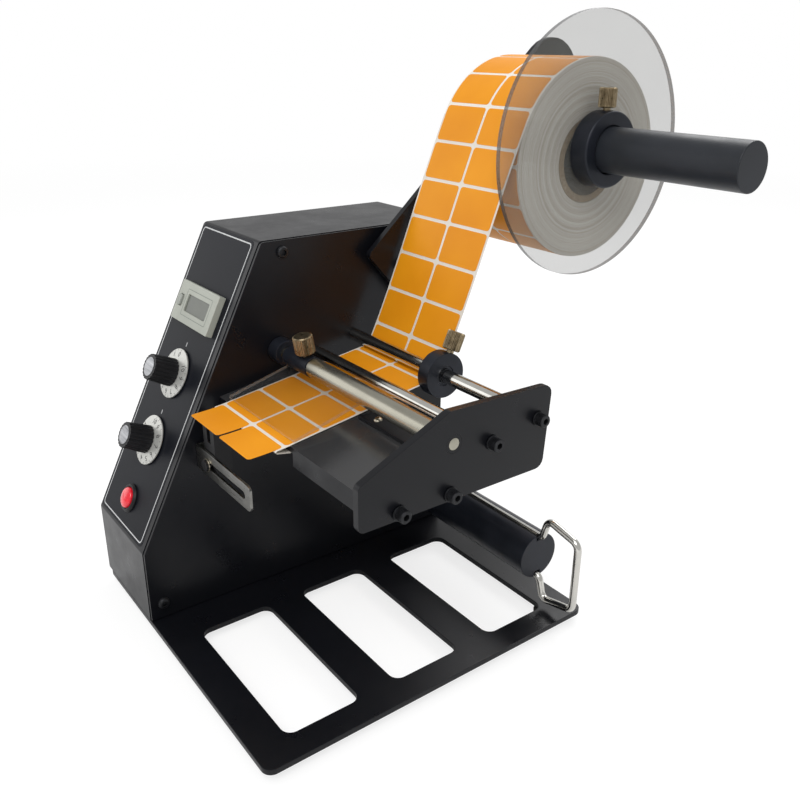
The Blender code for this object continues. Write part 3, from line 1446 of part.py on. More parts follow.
def offset_path(points, distance):
    """A path moved to its left by a distance, with mitred corners."""
    moved = []
    for i, here in enumerate(points):
        before = (here - points[i - 1]).normalized() if i else None
        after = (points[i + 1] - here).normalized() if i + 1 < len(points) else before
        before = before or after
        left_before = Vector((-before.y, before.x))
        left_after = Vector((-after.y, after.x))
        mitre = (left_before + left_after).normalized()
        moved.append(here + mitre * (distance / mitre.dot(left_after)))
    return moved


def make_strip():
    """Labels on their liner in one thin ribbon; the first labels stand free past the edge."""
    web = web_path()
    liner = liner_path()
    half = WEB_THICKNESS / 2
    path = web + liner
    outer = offset_path(path, -half)
    inner = offset_path(path, half)
    edge = len(web) - 1
    tip = Vector((PEEL_EDGE_Y - TIP_REACH, outer[edge].y - TIP_DROP))
    root = Vector((outer[edge].x, outer[edge].y - WEB_THICKNESS))
    outline = outer[: edge + 1] + [tip, tip - Vector((0, WEB_THICKNESS)), root]
    outline += outer[edge + 1 :] + inner[::-1]
    shape = prism([tuple(point) for point in outline], WEB_START, WEB_END, "X")
    add("label_strip", shape, LINER_PAPER)


# Label sensor on its slotted bracket
def make_sensor():
    low = SENSOR_BRACKET_LOW
    high = low + SENSOR_BRACKET_HEIGHT
    front = SENSOR_BRACKET_Y
    back = front + SENSOR_BRACKET_SHEET
    plate = prism(
        rounded(
            [(GAP, low), (SENSOR_BRACKET_REACH, low), (SENSOR_BRACKET_REACH, high), (GAP, high)],
            [0, SENSOR_BRACKET_CORNER, SENSOR_BRACKET_CORNER, 0],
        ),
        front,
        back,
        "Y",
    )
    bracket = add("sensor_bracket", plate, STEEL)
    foot = prism(
        [
            (GAP, front + SENSOR_BRACKET_SHEET / 2),
            (GAP + SENSOR_BRACKET_SHEET, front + SENSOR_BRACKET_SHEET / 2),
            (GAP + SENSOR_BRACKET_SHEET, front + SENSOR_BRACKET_FOOT),
            (GAP, front + SENSOR_BRACKET_FOOT),
        ],
        low,
        high,
        "Z",
    )
    change(bracket, add("sensor_foot_join", foot, STEEL), "UNION")
    middle = (low + high) / 2
    half_slot = SENSOR_SLOT_HEIGHT / 2
    slot = prism(
        box_outline(
            SENSOR_SLOT_START,
            SENSOR_BRACKET_REACH - SENSOR_SLOT_MARGIN,
            middle - half_slot,
            middle + half_slot,
            half_slot * SENSOR_SLOT_END_SHARE,
        ),
        front - OVERRUN,
        back + OVERRUN,
        "Y",
    )
    change(bracket, add("sensor_slot_cut", slot, STEEL), "DIFFERENCE")
    place = (SENSOR_REST, 0, 0)
    half_width = SENSOR_WIDTH / 2
    block = prism(
        box_outline(-half_width, half_width, back + GAP, back + GAP + SENSOR_DEPTH, 0),
        SENSOR_LOW,
        SENSOR_LOW + SENSOR_HEIGHT,
        "Z",
    )
    body = add("label_sensor", block, BLACK_PLASTIC, place=place)
    fork_low = SENSOR_LOW + SENSOR_HEIGHT - SENSOR_FORK_DEPTH
    fork = prism(
        box_outline(-SENSOR_FORK / 2, SENSOR_FORK / 2, front, back + SENSOR_DEPTH + OVERRUN, 0),
        fork_low,
        SENSOR_LOW + SENSOR_HEIGHT + OVERRUN,
        "Z",
    )
    change(body, add("sensor_fork_cut", fork, BLACK_PLASTIC, place=place), "DIFFERENCE")
    head = front - GAP - SENSOR_STUD_HEAD_HEIGHT
    stud = turned(
        [
            (0, head),
            (SENSOR_STUD_HEAD, head),
            (SENSOR_STUD_HEAD, front - GAP),
            (SENSOR_STUD_RADIUS, front - GAP),
            (SENSOR_STUD_RADIUS, back + SENSOR_DEPTH / 2),
            (0, back + SENSOR_DEPTH / 2),
        ],
        "Y",
        ROUND_SMALL,
    )
    tool = add("sensor_stud_join", stud, STEEL, place=(SENSOR_REST, 0, middle))
    change(body, tool, "UNION")


# Take-up spindle and its wire clip
def make_take_up(side):
    """A grooved cylinder on a shaft from the box; the clip's legs lie in its two grooves."""
    half = CLIP_WIRE_RADIUS + CLIP_CLEARANCE
    rim = math.asin(half / TAKE_UP_RADIUS)
    outline = []
    for start in (rim, math.pi + rim):
        end = start + math.pi - 2 * rim
        side_points = [
            Matrix.Rotation(turn, 2) @ Vector((0, TAKE_UP_RADIUS))
            for turn in (
                start + (end - start) * step / ROUND_SMALL for step in range(ROUND_SMALL + 1)
            )
        ]
        outline += [tuple(point) for point in side_points]
        floor = TAKE_UP_GROOVE_FLOOR if start > math.pi else -TAKE_UP_GROOVE_FLOOR
        outline.append((side_points[-1].x, floor))
        outline.append((-side_points[-1].x, floor))
    place = (0, TAKE_UP_Y, TAKE_UP_Z)
    shape = prism(outline, TAKE_UP_START, TAKE_UP_END, "X")
    spindle = add("take_up_spindle", shape, BLACK_ANODISED, place=place)
    shaft_end = BELT_INNER_X
    shaft = [
        (0, shaft_end),
        (TAKE_UP_SHAFT_RADIUS, shaft_end),
        (TAKE_UP_SHAFT_RADIUS, TAKE_UP_START + OVERRUN),
        (0, TAKE_UP_START + OVERRUN),
    ]
    tool = add("take_up_shaft_join", turned(shaft, "X", ROUND_SMALL), STEEL, place=place)
    change(spindle, tool, "UNION")
    hole = TAKE_UP_SHAFT_RADIUS + BEARING_CLEARANCE
    low = -SIDE_SHEET - OVERRUN
    drill("take_up_shaft_cut", hole, low, OVERRUN, "X", machine, place, (side,))


def bent(points, radius):
    """A path through points with each inner corner bent to a radius."""
    path = [Vector(points[0])]
    for before, corner, after in zip(points, points[1:], points[2:]):
        here = Vector(corner)
        back = (Vector(before) - here).normalized()
        ahead = (Vector(after) - here).normalized()
        half = back.angle(ahead) / 2
        reach = radius / math.tan(half)
        for step in range(BEND_STEPS + 1):
            t = step / BEND_STEPS
            path.append(
                here + back * reach * (1 - t) ** 2 + ahead * reach * t**2
            )
    path.append(Vector(points[-1]))
    return path


def make_clip():
    """One chrome wire: two legs in the grooves, joined past the end by a loop to pull."""
    leg = TAKE_UP_GROOVE_FLOOR + CLIP_CLEARANCE + CLIP_WIRE_RADIUS
    start = TAKE_UP_START - GAP
    rise = TAKE_UP_END + CLIP_STEP / 2
    crest = rise + CLIP_STEP
    far = TAKE_UP_END + CLIP_REACH
    upper = [(start, leg), (rise, leg), (crest, CLIP_HUMP), (far, CLIP_LOOP_HALF)]
    corners = upper + [(x, -z) for x, z in reversed(upper)]
    route = bent([(x, 0, z) for x, z in corners], CLIP_BEND)
    curve = bpy.data.curves.new("take_up_clip", "CURVE")
    curve.dimensions = "3D"
    curve.bevel_depth = CLIP_WIRE_RADIUS
    curve.bevel_resolution = (WIRE_SIDES - 4) // 2
    curve.use_fill_caps = True
    spline = curve.splines.new("POLY")
    spline.points.add(len(route) - 1)
    for point, place in zip(spline.points, route):
        point.co = (*place, 1)
    curve.materials.append(CHROME)
    clip = bpy.data.objects.new("take_up_clip", curve)
    clip.parent = machine
    clip.location = (0, TAKE_UP_Y, TAKE_UP_Z)
    bpy.context.scene.collection.objects.link(clip)


make_base()
make_feet()
box_shell, side_panel = make_box()
make_side_screws(box_shell, side_panel)
make_counter(box_shell)
make_knobs(box_shell)
make_lamp(box_shell)
make_control_board()
make_inlet(box_shell)
make_motor()
make_pulleys()
make_belts()
peel_platform = make_platform()
make_feed_rollers(side_panel, peel_platform)
make_edge_guide(peel_platform)
make_rods()
make_front_bar()
make_guide_collar()
make_cover()
outer_plate = make_outer_plate()
make_plate_screws(outer_plate, peel_platform)
make_arm()
make_spindle()
make_disc_and_hub()
make_roll()
make_strip()
make_sensor()
make_take_up(side_panel)
make_clip()
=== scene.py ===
"""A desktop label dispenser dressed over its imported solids, in metres, in the solids' own frame."""

import math

import bmesh
import bpy
from mathutils import Matrix, Vector


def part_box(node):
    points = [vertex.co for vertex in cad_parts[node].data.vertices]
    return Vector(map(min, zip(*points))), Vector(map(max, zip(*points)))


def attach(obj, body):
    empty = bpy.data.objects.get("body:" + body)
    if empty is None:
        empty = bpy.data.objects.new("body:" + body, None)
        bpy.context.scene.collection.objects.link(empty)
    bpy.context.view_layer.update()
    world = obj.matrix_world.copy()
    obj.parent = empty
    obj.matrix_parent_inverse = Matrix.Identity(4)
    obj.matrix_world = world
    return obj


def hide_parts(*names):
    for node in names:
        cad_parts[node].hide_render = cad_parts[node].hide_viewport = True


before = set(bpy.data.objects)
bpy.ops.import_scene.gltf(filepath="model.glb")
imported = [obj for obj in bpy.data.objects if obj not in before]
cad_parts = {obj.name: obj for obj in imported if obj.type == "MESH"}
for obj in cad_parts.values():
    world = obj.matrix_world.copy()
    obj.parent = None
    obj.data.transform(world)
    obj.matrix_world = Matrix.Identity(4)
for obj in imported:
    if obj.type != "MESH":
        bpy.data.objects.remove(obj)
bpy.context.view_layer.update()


# Base plate: a sheet of mild steel, laser cut with three windows and sprayed satin black.
# The box and the roll arm stand on its left part, and four feet carry it.
PLATE_CORNER = 0.006
PLATE_EDGE = 0.0004
WINDOW_LEFT = 0.098
WINDOW_RIGHT = 0.1994
WINDOW_FRONTS = (0.0198, 0.08753, 0.15527)
WINDOW_DEPTH = 0.04493
SHARP = math.radians(34.0)
WELD = 2e-6


class Shade:
    """A socket of a material's nodes. Arithmetic on it adds Math nodes, and node() adds any other."""

    def __init__(self, material, socket=None):
        self.material, self.socket = material, socket

    def node(self, kind, settings=None, sockets=None, output=0):
        tree = self.material.node_tree
        made = tree.nodes.new("ShaderNode" + kind)
        for name, value in (settings or {}).items():
            if name == "stops":
                while len(made.color_ramp.elements) < len(value):
                    made.color_ramp.elements.new(1.0)
                for stop, (place, shade) in zip(made.color_ramp.elements, value):
                    stop.position, stop.color = place, shade
            else:
                setattr(made, name, value)
        for name, value in (sockets or {}).items():
            if isinstance(value, Shade):
                tree.links.new(value.socket, made.inputs[name])
            else:
                made.inputs[name].default_value = value
        return Shade(self.material, made.outputs[output] if made.outputs else None)

    def maths(self, operation, *values):
        return self.node("Math", {"operation": operation}, dict(enumerate(values)))

    def __add__(self, other):
        return self.maths("ADD", self, other)

    def __radd__(self, other):
        return self.maths("ADD", other, self)

    def __sub__(self, other):
        return self.maths("SUBTRACT", self, other)

    def __rsub__(self, other):
        return self.maths("SUBTRACT", other, self)

    def __mul__(self, other):
        return self.maths("MULTIPLY", self, other)

    def __rmul__(self, other):
        return self.maths("MULTIPLY", other, self)

    def noise(self, place, scale, detail=2.0, roughness=0.5, stretch=(1, 1, 1)):
        """Noise of about 0.3 to 0.7; scale is in features per metre, and stretch draws it out."""
        place = self.node("Mapping", {}, {"Vector": place, "Scale": stretch})
        sockets = {"Vector": place, "Scale": scale, "Detail": detail, "Roughness": roughness}
        return self.node("TexNoise", {}, sockets)

    def between(self, low, high):
        """0 below low, 1 above high, and even between them."""
        return self.node("MapRange", {}, {"Value": self, "From Min": low, "From Max": high})

    def mix(self, first, second):
        """A colour that goes from first to second as this value goes from 0 to 1."""
        return self.node("Mix", {"data_type": "RGBA"}, {0: self, 6: first, 7: second}, 2)

    def surface(self, base, roughness, height=None, depth=0.0, **fixed):
        """Ends the material with one Principled shader, bumped by height times depth."""
        sockets = {"Base Color": base, "Roughness": roughness}
        if height is not None:
            sockets["Normal"] = self.node("Bump", {}, {"Height": height, "Distance": depth})
        sockets.update({name.replace("_", " "): value for name, value in fixed.items()})
        shader = self.node("BsdfPrincipled", {}, sockets)
        self.node("OutputMaterial", {}, {"Surface": shader})
        return self.material


def new_shade(name):
    """The start of a material: its Object coordinates, and a Shade to build on."""
    material = bpy.data.materials.new(name)
    material.use_nodes = True
    material.node_tree.nodes.clear()
    shade = Shade(material)
    return shade, shade.node("TexCoord", output=3)


def tone(red, green, blue):
    """A screen colour of 0 to 255 as the shader's linear one."""
    parts = [part / 255 for part in (red, green, blue)]
    return (*(part / 12.92 if part < 0.04045 else ((part + 0.055) / 1.055) ** 2.4 for part in parts), 1.0)


def corners(node):
    """A node's lowest and highest corner."""
    low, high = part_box(node)
    return Vector(low), Vector(high)


def centre(node):
    low, high = corners(node)
    return (low + high) / 2


def extent(node):
    """A node's size along each axis."""
    low, high = corners(node)
    return high - low


def vertices(made):
    return [part for part in made["geom"] if isinstance(part, bmesh.types.BMVert)]


def raise_faces(form, faces, reach):
    """Extrudes faces by a vector and gives the new vertices. A part of a form leaves no face behind."""
    left_behind = [] if len(faces) == len(form.faces) else faces
    moved = vertices(bmesh.ops.extrude_face_region(form, geom=faces))
    bmesh.ops.delete(form, geom=left_behind, context="FACES")
    bmesh.ops.translate(form, verts=moved, vec=reach)
    return moved


def cut_sheet(columns, rows):
    """A flat sheet at z 0, divided at each place in columns and rows."""
    form = bmesh.new()
    bmesh.ops.create_grid(form, x_segments=len(columns) - 1, y_segments=len(rows) - 1, size=0.5)
    for vertex in form.verts:
        column = round((vertex.co.x + 0.5) * (len(columns) - 1))
        row = round((vertex.co.y + 0.5) * (len(rows) - 1))
        vertex.co = (columns[column], rows[row], 0)
    return form


def bevel(form, parts, width, segments, affect="EDGES"):
    """Rounds edges, or with affect VERTICES a flat sheet's corners."""
    bmesh.ops.bevel(
        form,
        geom=parts,
        offset=width,
        segments=segments,
        profile=0.5,
        affect=affect,
        clamp_overlap=affect == "EDGES",
        material=-1,
    )


def round_edges(form, direction, radius, segments=8):
    """Rounds the sharp edges that run along a direction, such as a sheet's corners."""
    bmesh.ops.recalc_face_normals(form, faces=form.faces)
    edges = []
    for edge in form.edges:
        run = (edge.verts[1].co - edge.verts[0].co).normalized()
        along = abs(run.dot(Vector(direction))) > 0.999
        if along and len(edge.link_faces) == 2 and edge.calc_face_angle() > SHARP:
            edges.append(edge)
    bevel(form, edges, radius, segments)


def ease(form, width, segments=2):
    """Takes the edge off each sharp corner, so that it catches the light as a real one does."""
    bmesh.ops.remove_doubles(form, verts=form.verts, dist=WELD)
    bmesh.ops.recalc_face_normals(form, faces=form.faces)
    edges = [edge for edge in form.edges if len(edge.link_faces) == 2 and edge.calc_face_angle() > SHARP]
    bevel(form, edges, width, segments)


def finish_piece(name, form, material, body, slot, *nodes, weighted=True):
    """Makes a form an object, smooth but for its sharp edges, and puts it on its body."""
    bmesh.ops.remove_doubles(form, verts=form.verts, dist=WELD / 4)
    bmesh.ops.recalc_face_normals(form, faces=form.faces)
    for face in form.faces:
        face.smooth = True
    for edge in form.edges:
        if len(edge.link_faces) == 2:
            edge.smooth = edge.calc_face_angle() < SHARP
    mesh = bpy.data.meshes.new(name)
    form.to_mesh(mesh)
    form.free()
    mesh.materials.append(material)
    piece = bpy.data.objects.new(name, mesh)
    bpy.context.scene.collection.objects.link(piece)
    if weighted:
        piece.modifiers.new("even_normals", "WEIGHTED_NORMAL").keep_sharp = True
    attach(piece, body)
    if nodes:
        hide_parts(*nodes)
    return piece


shade, place = new_shade("satin_paint")
paint_grain = shade.noise(place, 1500.0, 2.0)
paint_cloud = shade.noise(place, 11.0, 3.0).between(0.3, 0.7)
paint_haze = shade.noise(place, 55.0, 5.0, 0.65).between(0.3, 0.75)
satin_paint = shade.surface(
    paint_cloud.mix(tone(13, 14, 18), tone(17, 18, 23)),
    0.26 + 0.12 * paint_haze,
    paint_grain,
    0.000012,
    Specular_IOR_Level=0.26,
)

plate_low, plate_high = corners("base_plate")
plate_size = plate_high - plate_low
window_rows = [y for front in WINDOW_FRONTS for y in (front, front + WINDOW_DEPTH)]
form = cut_sheet([0.0, WINDOW_LEFT, WINDOW_RIGHT, plate_size.x], [0.0, *window_rows, plate_size.y])
windows = []
for face in form.faces:
    x, y, _ = face.calc_center_median()
    if WINDOW_LEFT < x < WINDOW_RIGHT and any(front < y < front + WINDOW_DEPTH for front in WINDOW_FRONTS):
        windows.append(face)
bmesh.ops.delete(form, geom=windows, context="FACES")
raise_faces(form, form.faces[:], (0, 0, plate_size.z))
round_edges(form, (0, 0, 1), PLATE_CORNER, 10)
ease(form, PLATE_EDGE)
bmesh.ops.translate(form, verts=form.verts, vec=plate_low)
finish_piece("base_sheet", form, satin_paint, "machine", "black_paint", "base_plate")


# Feet: four moulded rubber buttons under the base plate's corners. Each has a hollow for the head of
# the screw that holds it.
FOOT_DRAFT = 0.0004
FOOT_HOLLOW = 0.0030
FOOT_HOLLOW_DEPTH = 0.0016


def clouded(name, dark, light, rough, cloud, grain=None, depth=0.0, limits=(0.3, 0.7), by_grain=False, **fixed):
    """A finish that clouds from a dark tone to a light one, bumped by a grain or else by the cloud.

    A cloud and a grain are their noise's values. The roughness is rough's first value and, times the
    cloud or the grain, its second. Without limits the cloud isn't spread to run from 0 to 1.
    """
    shade, place = new_shade(name)
    tones = shade.noise(place, *cloud)
    if limits:
        tones = tones.between(*limits)
    bumps = shade.noise(place, *grain) if grain else tones
    least, added = rough
    roughness = least + added * (bumps if by_grain else tones) if added else least
    return shade.surface(tones.mix(tone(*dark), tone(*light)), roughness, bumps if depth else None, depth, **fixed)


def turned(profile, steps=64):
    """Spins a profile of (radius, height) points about Z, and merges what meets on the axis."""
    form = bmesh.new()
    points = [form.verts.new((radius, 0, height)) for radius, height in profile]
    lines = [form.edges.new(pair) for pair in zip(points, points[1:])]
    bmesh.ops.spin(form, geom=points + lines, axis=(0, 0, 1), angle=math.tau, steps=steps, use_merge=True)
    bmesh.ops.remove_doubles(form, verts=form.verts, dist=WELD / 4)
    return form


def aim(form, spot, direction=(1, 0, 0)):
    """Turns a form's Z axis to a direction and moves its origin to a spot."""
    turn = Vector((0, 0, 1)).rotation_difference(Vector(direction)).to_matrix().to_4x4()
    bmesh.ops.transform(form, matrix=Matrix.Translation(spot) @ turn, verts=form.verts)


moulded_rubber = clouded(
    "moulded_rubber", (22, 22, 22), (40, 39, 38), (0.62, 0.3), (120.0, 3.0), (900.0, 3.0), 0.00006,
    limits=None, by_grain=True,
)
for foot in ("foot_front_left", "foot_front_right", "foot_rear_left", "foot_rear_right"):
    size = extent(foot)
    hollow = [(0, FOOT_HOLLOW_DEPTH), (FOOT_HOLLOW, FOOT_HOLLOW_DEPTH), (FOOT_HOLLOW, 0)]
    form = turned([*hollow, (size.x / 2 - FOOT_DRAFT, 0), (size.x / 2, size.z), (0, size.z)])
    ease(form, FOOT_DRAFT)
    aim(form, centre(foot) - Vector((0, 0, size.z / 2)), (0, 0, 1))
    finish_piece(foot + "_rubber", form, moulded_rubber, "machine", "rubber", foot)


# Control box: a folded steel shell with a flat panel on its right side, in the same satin black.
# The panel is held by four button-head screws, and stands a hair inside the shell's bends.
FLAT = math.radians(0.4)


def merged(node):
    """A copy of a CAD node's mesh, its loose triangles joined into whole faces."""
    form = bmesh.new()
    form.from_mesh(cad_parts[node].data)
    bmesh.ops.remove_doubles(form, verts=form.verts, dist=WELD)
    bmesh.ops.dissolve_limit(form, angle_limit=FLAT, verts=form.verts, edges=form.edges)
    return form


def dressed(node, material, body, slot, edge=0.0):
    """A merged and smoothed copy of a CAD node, with its edges eased, stands for the node."""
    form = merged(node)
    if edge:
        ease(form, edge)
    return finish_piece(node + "_dressed", form, material, body, slot, node)


dressed("box_shell", satin_paint, "machine", "black_paint")
dressed("side_panel", satin_paint, "machine", "black_paint")


# Socket screws: blackened steel, with a round head and a hexagonal socket. The button heads hold the
# box's side, and the cap heads with washers hold the outer plate.
BUTTON_HEIGHT = 0.0024
BUTTON_SHOULDER = ((0.66, 0.97), (0.85, 0.8), (0.96, 0.55), (1.0, 0.25))
SOCKET_RADIUS = 0.0017
SOCKET_DEPTH_SHARE = 0.55
CAP_HEAD = 0.0032
CAP_HEIGHT = 0.0044
CAP_EDGE = 0.0004
CAP_KNURLS = 36
CAP_KNURL_SHARE = 0.965
WASHER_RADIUS = 0.0038
WASHER_SHEET = 0.0008


def hollow_hexagon(form, radius):
    """Turns a round socket of a radius into a hexagonal one with its corners on that radius."""
    for vertex in form.verts:
        if abs(vertex.co.xy.length - radius) < WELD:
            turn = (math.atan2(vertex.co.y, vertex.co.x) + math.tau / 12) % (math.tau / 6) - math.tau / 12
            vertex.co.xy *= math.cos(math.tau / 12) / math.cos(turn - math.tau / 12 * (1 if turn > 0 else -1))


def screw_head(socket, floor, radius, height, shoulder):
    """A turned head with a hexagonal socket. Its shoulder is in shares of the radius and height."""
    rim = [(radius * out, height * up) for out, up in shoulder]
    form = turned([(0, floor), (socket, floor), (socket, height), *rim, (radius, 0), (0, 0)], 48)
    hollow_hexagon(form, socket)
    return form


def cap_screw(node, spot):
    """A knurled cap head on a washer, standing on a face at a spot."""
    top = WASHER_SHEET + CAP_HEIGHT
    floor = top - CAP_HEIGHT * SOCKET_DEPTH_SHARE
    socket = [(0, floor), (SOCKET_RADIUS, floor), (SOCKET_RADIUS, top)]
    side = [(CAP_HEAD - CAP_EDGE, top), (CAP_HEAD, top - CAP_EDGE), (CAP_HEAD, WASHER_SHEET), (0, WASHER_SHEET)]
    form = turned([*socket, *side], 4 * CAP_KNURLS)
    for vertex in form.verts:
        turn = math.atan2(vertex.co.y, vertex.co.x)
        if abs(vertex.co.xy.length - CAP_HEAD) < WELD and turn * CAP_KNURLS / math.pi % 2 < 1:
            vertex.co.xy *= CAP_KNURL_SHARE
    hollow_hexagon(form, SOCKET_RADIUS)
    hole = CAP_HEAD / 2
    ring = turned([(hole, 0), (WASHER_RADIUS, 0), (WASHER_RADIUS, WASHER_SHEET), (hole, WASHER_SHEET)], 48)
    ease(ring, CAP_EDGE / 2)
    aim(form, spot)
    aim(ring, spot)
    finish_piece(node + "_head", form, blackened_steel, "machine", "black_screw", node)
    finish_piece(node + "_washer", ring, blackened_steel, "machine", "black_screw")


blackened_steel = clouded(
    "blackened_steel", (20, 21, 23), (38, 39, 43), (0.34, 0.2), (500.0, 4.0, 0.6), None, 0.00001, Metallic=0.5
)
for screw in ("side_screw_front_low", "side_screw_front_high", "side_screw_rear_low", "side_screw_rear_high"):
    spot = centre(screw)
    spot.x = corners("side_panel")[1].x
    floor = BUTTON_HEIGHT * (1 - SOCKET_DEPTH_SHARE)
    form = screw_head(SOCKET_RADIUS, floor, extent(screw).y / 2, BUTTON_HEIGHT, BUTTON_SHOULDER)
    aim(form, spot)
    finish_piece(screw + "_head", form, blackened_steel, "machine", "black_screw", screw)


# Front film: a satin vinyl sheet stuck on the box's slope, printed with a silver border and with an
# index mark above each dial.
PANEL_LOW = 0.0464
PANEL_TILT = math.radians(63.33)
FILM_LEFT = -0.0722
FILM_RIGHT = -0.0062
FILM_TOP = 0.1912
FILM_BOTTOM = 0.0018
FILM_SHEET = 0.00012
FILM_CORNER = 0.0035
BORDER_MARGIN = 0.0017
BORDER_WIDTH = 0.00075
INK = 0.00003
INDEX_LENGTH = 0.0026
INDEX_WIDTH = 0.0007
INDEX_RISE = 0.0186

datum = Vector((corners("side_panel")[1].x, plate_low.y, plate_high.z))
panel_turn = Matrix.Rotation(PANEL_TILT, 4, "X")
panel = Matrix.Translation(datum + Vector((0, 0, PANEL_LOW))) @ panel_turn


def on_panel(node):
    """Where a node's middle stands on the panel: across, up the slope and off its face."""
    return panel.inverted() @ centre(node)


def rounded_sheet(width, height, radius, thickness, segments=8):
    """A flat sheet with round corners, centred, from z 0 up."""
    form = cut_sheet([-width / 2, width / 2], [-height / 2, height / 2])
    bevel(form, form.verts[:], radius, segments, "VERTICES")
    if thickness:
        raise_faces(form, form.faces[:], (0, 0, thickness))
    return form


def lay(form, across, up, off):
    """Moves a form from its own plane to a place on the sloping panel."""
    bmesh.ops.transform(form, matrix=panel @ Matrix.Translation((across, up, off)), verts=form.verts)


def printed_frame(width, height, radius, line, thickness):
    """A thin frame, as a printed line is."""
    form = rounded_sheet(width, height, radius, 0)
    bmesh.ops.inset_region(form, faces=form.faces[:], thickness=line, use_even_offset=True, use_boundary=True)
    inner = max(form.faces, key=lambda face: face.calc_area())
    bmesh.ops.delete(form, geom=[inner], context="FACES")
    raise_faces(form, form.faces[:], (0, 0, thickness))
    return form


film_vinyl = clouded(
    "film_vinyl",
    (16, 18, 24),
    (21, 23, 30),
    (0.34, 0.1),
    (24.0, 3.0),
    (2200.0, 2.0),
    0.000008,
    by_grain=True,
    Specular_IOR_Level=0.1,
)
silver_ink = clouded("silver_ink", (178, 180, 182), (206, 207, 206), (0.42, 0.1), (1800.0, 3.0))
film_middle = ((FILM_LEFT + FILM_RIGHT) / 2, (FILM_TOP + FILM_BOTTOM) / 2)
film_size = (FILM_RIGHT - FILM_LEFT, FILM_TOP - FILM_BOTTOM)
form = rounded_sheet(*film_size, FILM_CORNER, FILM_SHEET)
lay(form, *film_middle, 0)
finish_piece("front_film", form, film_vinyl, "machine", "black_paint")
border_size = [side - 2 * BORDER_MARGIN for side in film_size]
form = printed_frame(*border_size, FILM_CORNER - BORDER_MARGIN / 2, BORDER_WIDTH, INK)
lay(form, *film_middle, FILM_SHEET)
finish_piece("front_border", form, silver_ink, "machine", "black_paint")
for dial in ("length_dial", "speed_dial"):
    across, up, _ = on_panel(dial)
    form = rounded_sheet(INDEX_WIDTH, INDEX_LENGTH, INDEX_WIDTH / 3, INK, 3)
    lay(form, across, up + INDEX_RISE, FILM_SHEET)
    finish_piece(dial + "_index", form, silver_ink, "machine", "black_paint")


# Counter: a snap-in module with a cream moulded bezel, a grey liquid-crystal window behind its own
# step, a fine printed frame, and a reset button to the left.
BEZEL_HEIGHT = 0.0245
BEZEL_PROUD = 0.0040
BEZEL_CORNER = 0.0014
BEZEL_EDGE = 0.00035
WINDOW_SHIFT = 0.0025
WINDOW_WIDTH = 0.0285
WINDOW_HEIGHT = 0.0105
WINDOW_STEP = 0.0011
WINDOW_GLASS = 0.0003
RESET_SHIFT = -0.0195
RESET_WIDTH = 0.0050
RESET_HEIGHT = 0.0072
RESET_WELL = 0.0020
RESET_TRAVEL = 0.0012
RESET_CLEARANCE = 0.0001
COUNTER_LINE = 0.00032
COUNTER_FRAME = (0.0333, 0.0163)

cream_moulding = clouded(
    "cream_moulding", (156, 159, 149), (168, 171, 161), (0.42, 0.14), (40.0, 3.0), (1600.0, 3.0), 0.00002, by_grain=True
)
counter_glass = clouded("counter_glass", (86, 89, 82), (98, 101, 93), (0.3, 0.1), (130.0, 4.0))
grey_ink = clouded("grey_ink", (96, 104, 98), (122, 128, 120), (0.6, 0.0), (900.0,), limits=None)
grey_button = clouded(
    "grey_button", (136, 140, 133), (160, 163, 156), (0.45, 0.14), (1400.0, 3.0), None, 0.00002, limits=None
)

half_width, half_height = extent("counter_body").x / 2, BEZEL_HEIGHT / 2
openings = ((RESET_SHIFT, RESET_WIDTH), (WINDOW_SHIFT, WINDOW_WIDTH))
columns = [middle + side * width / 2 for middle, width in openings for side in (-1, 1)]
rows = [-WINDOW_HEIGHT / 2, -RESET_HEIGHT / 2, RESET_HEIGHT / 2, WINDOW_HEIGHT / 2]
form = cut_sheet([-half_width, *columns, half_width], [-half_height, *rows, half_height])
raise_faces(form, form.faces[:], (0, 0, BEZEL_PROUD))
form.normal_update()
window, button = [], []
for face in form.faces:
    x, y, z = face.calc_center_median()
    if z > BEZEL_PROUD - WELD and abs(x - WINDOW_SHIFT) < WELD and abs(y) < WINDOW_HEIGHT / 2:
        window.append(face)
    if z > BEZEL_PROUD - WELD and abs(x - RESET_SHIFT) < WELD and abs(y) < WELD:
        button.append(face)
raise_faces(form, window, (0, 0, -WINDOW_STEP))
raise_faces(form, button, (0, 0, -RESET_WELL))
round_edges(form, (0, 0, 1), BEZEL_CORNER / 2, 5)
ease(form, BEZEL_EDGE / 2)
counter_across, counter_up = on_panel("counter_body").x, on_panel("reset_button").y
lay(form, counter_across, counter_up, 0)
finish_piece("counter_bezel", form, cream_moulding, "machine", "cream_plastic", "counter_body")
form = rounded_sheet(WINDOW_WIDTH, WINDOW_HEIGHT, BEZEL_CORNER / 4, WINDOW_GLASS)
lay(form, counter_across + WINDOW_SHIFT, counter_up, BEZEL_PROUD - WINDOW_STEP)
finish_piece("counter_window", form, counter_glass, "machine", "cream_plastic")
form = printed_frame(*COUNTER_FRAME, BEZEL_CORNER / 2, COUNTER_LINE, INK)
lay(form, counter_across + WINDOW_SHIFT, counter_up, BEZEL_PROUD)
finish_piece("counter_frame_line", form, grey_ink, "machine", "cream_plastic")
cap_start = BEZEL_PROUD - RESET_WELL + RESET_TRAVEL + RESET_CLEARANCE
form = rounded_sheet(
    RESET_WIDTH - 2 * BEZEL_EDGE, RESET_HEIGHT - 2 * BEZEL_EDGE, BEZEL_EDGE * 2, RESET_WELL - RESET_CLEARANCE
)
ease(form, BEZEL_EDGE)
lay(form, counter_across + RESET_SHIFT, counter_up, cap_start)
finish_piece("reset_cap", form, grey_button, "reset", "grey_plastic", "reset_button")


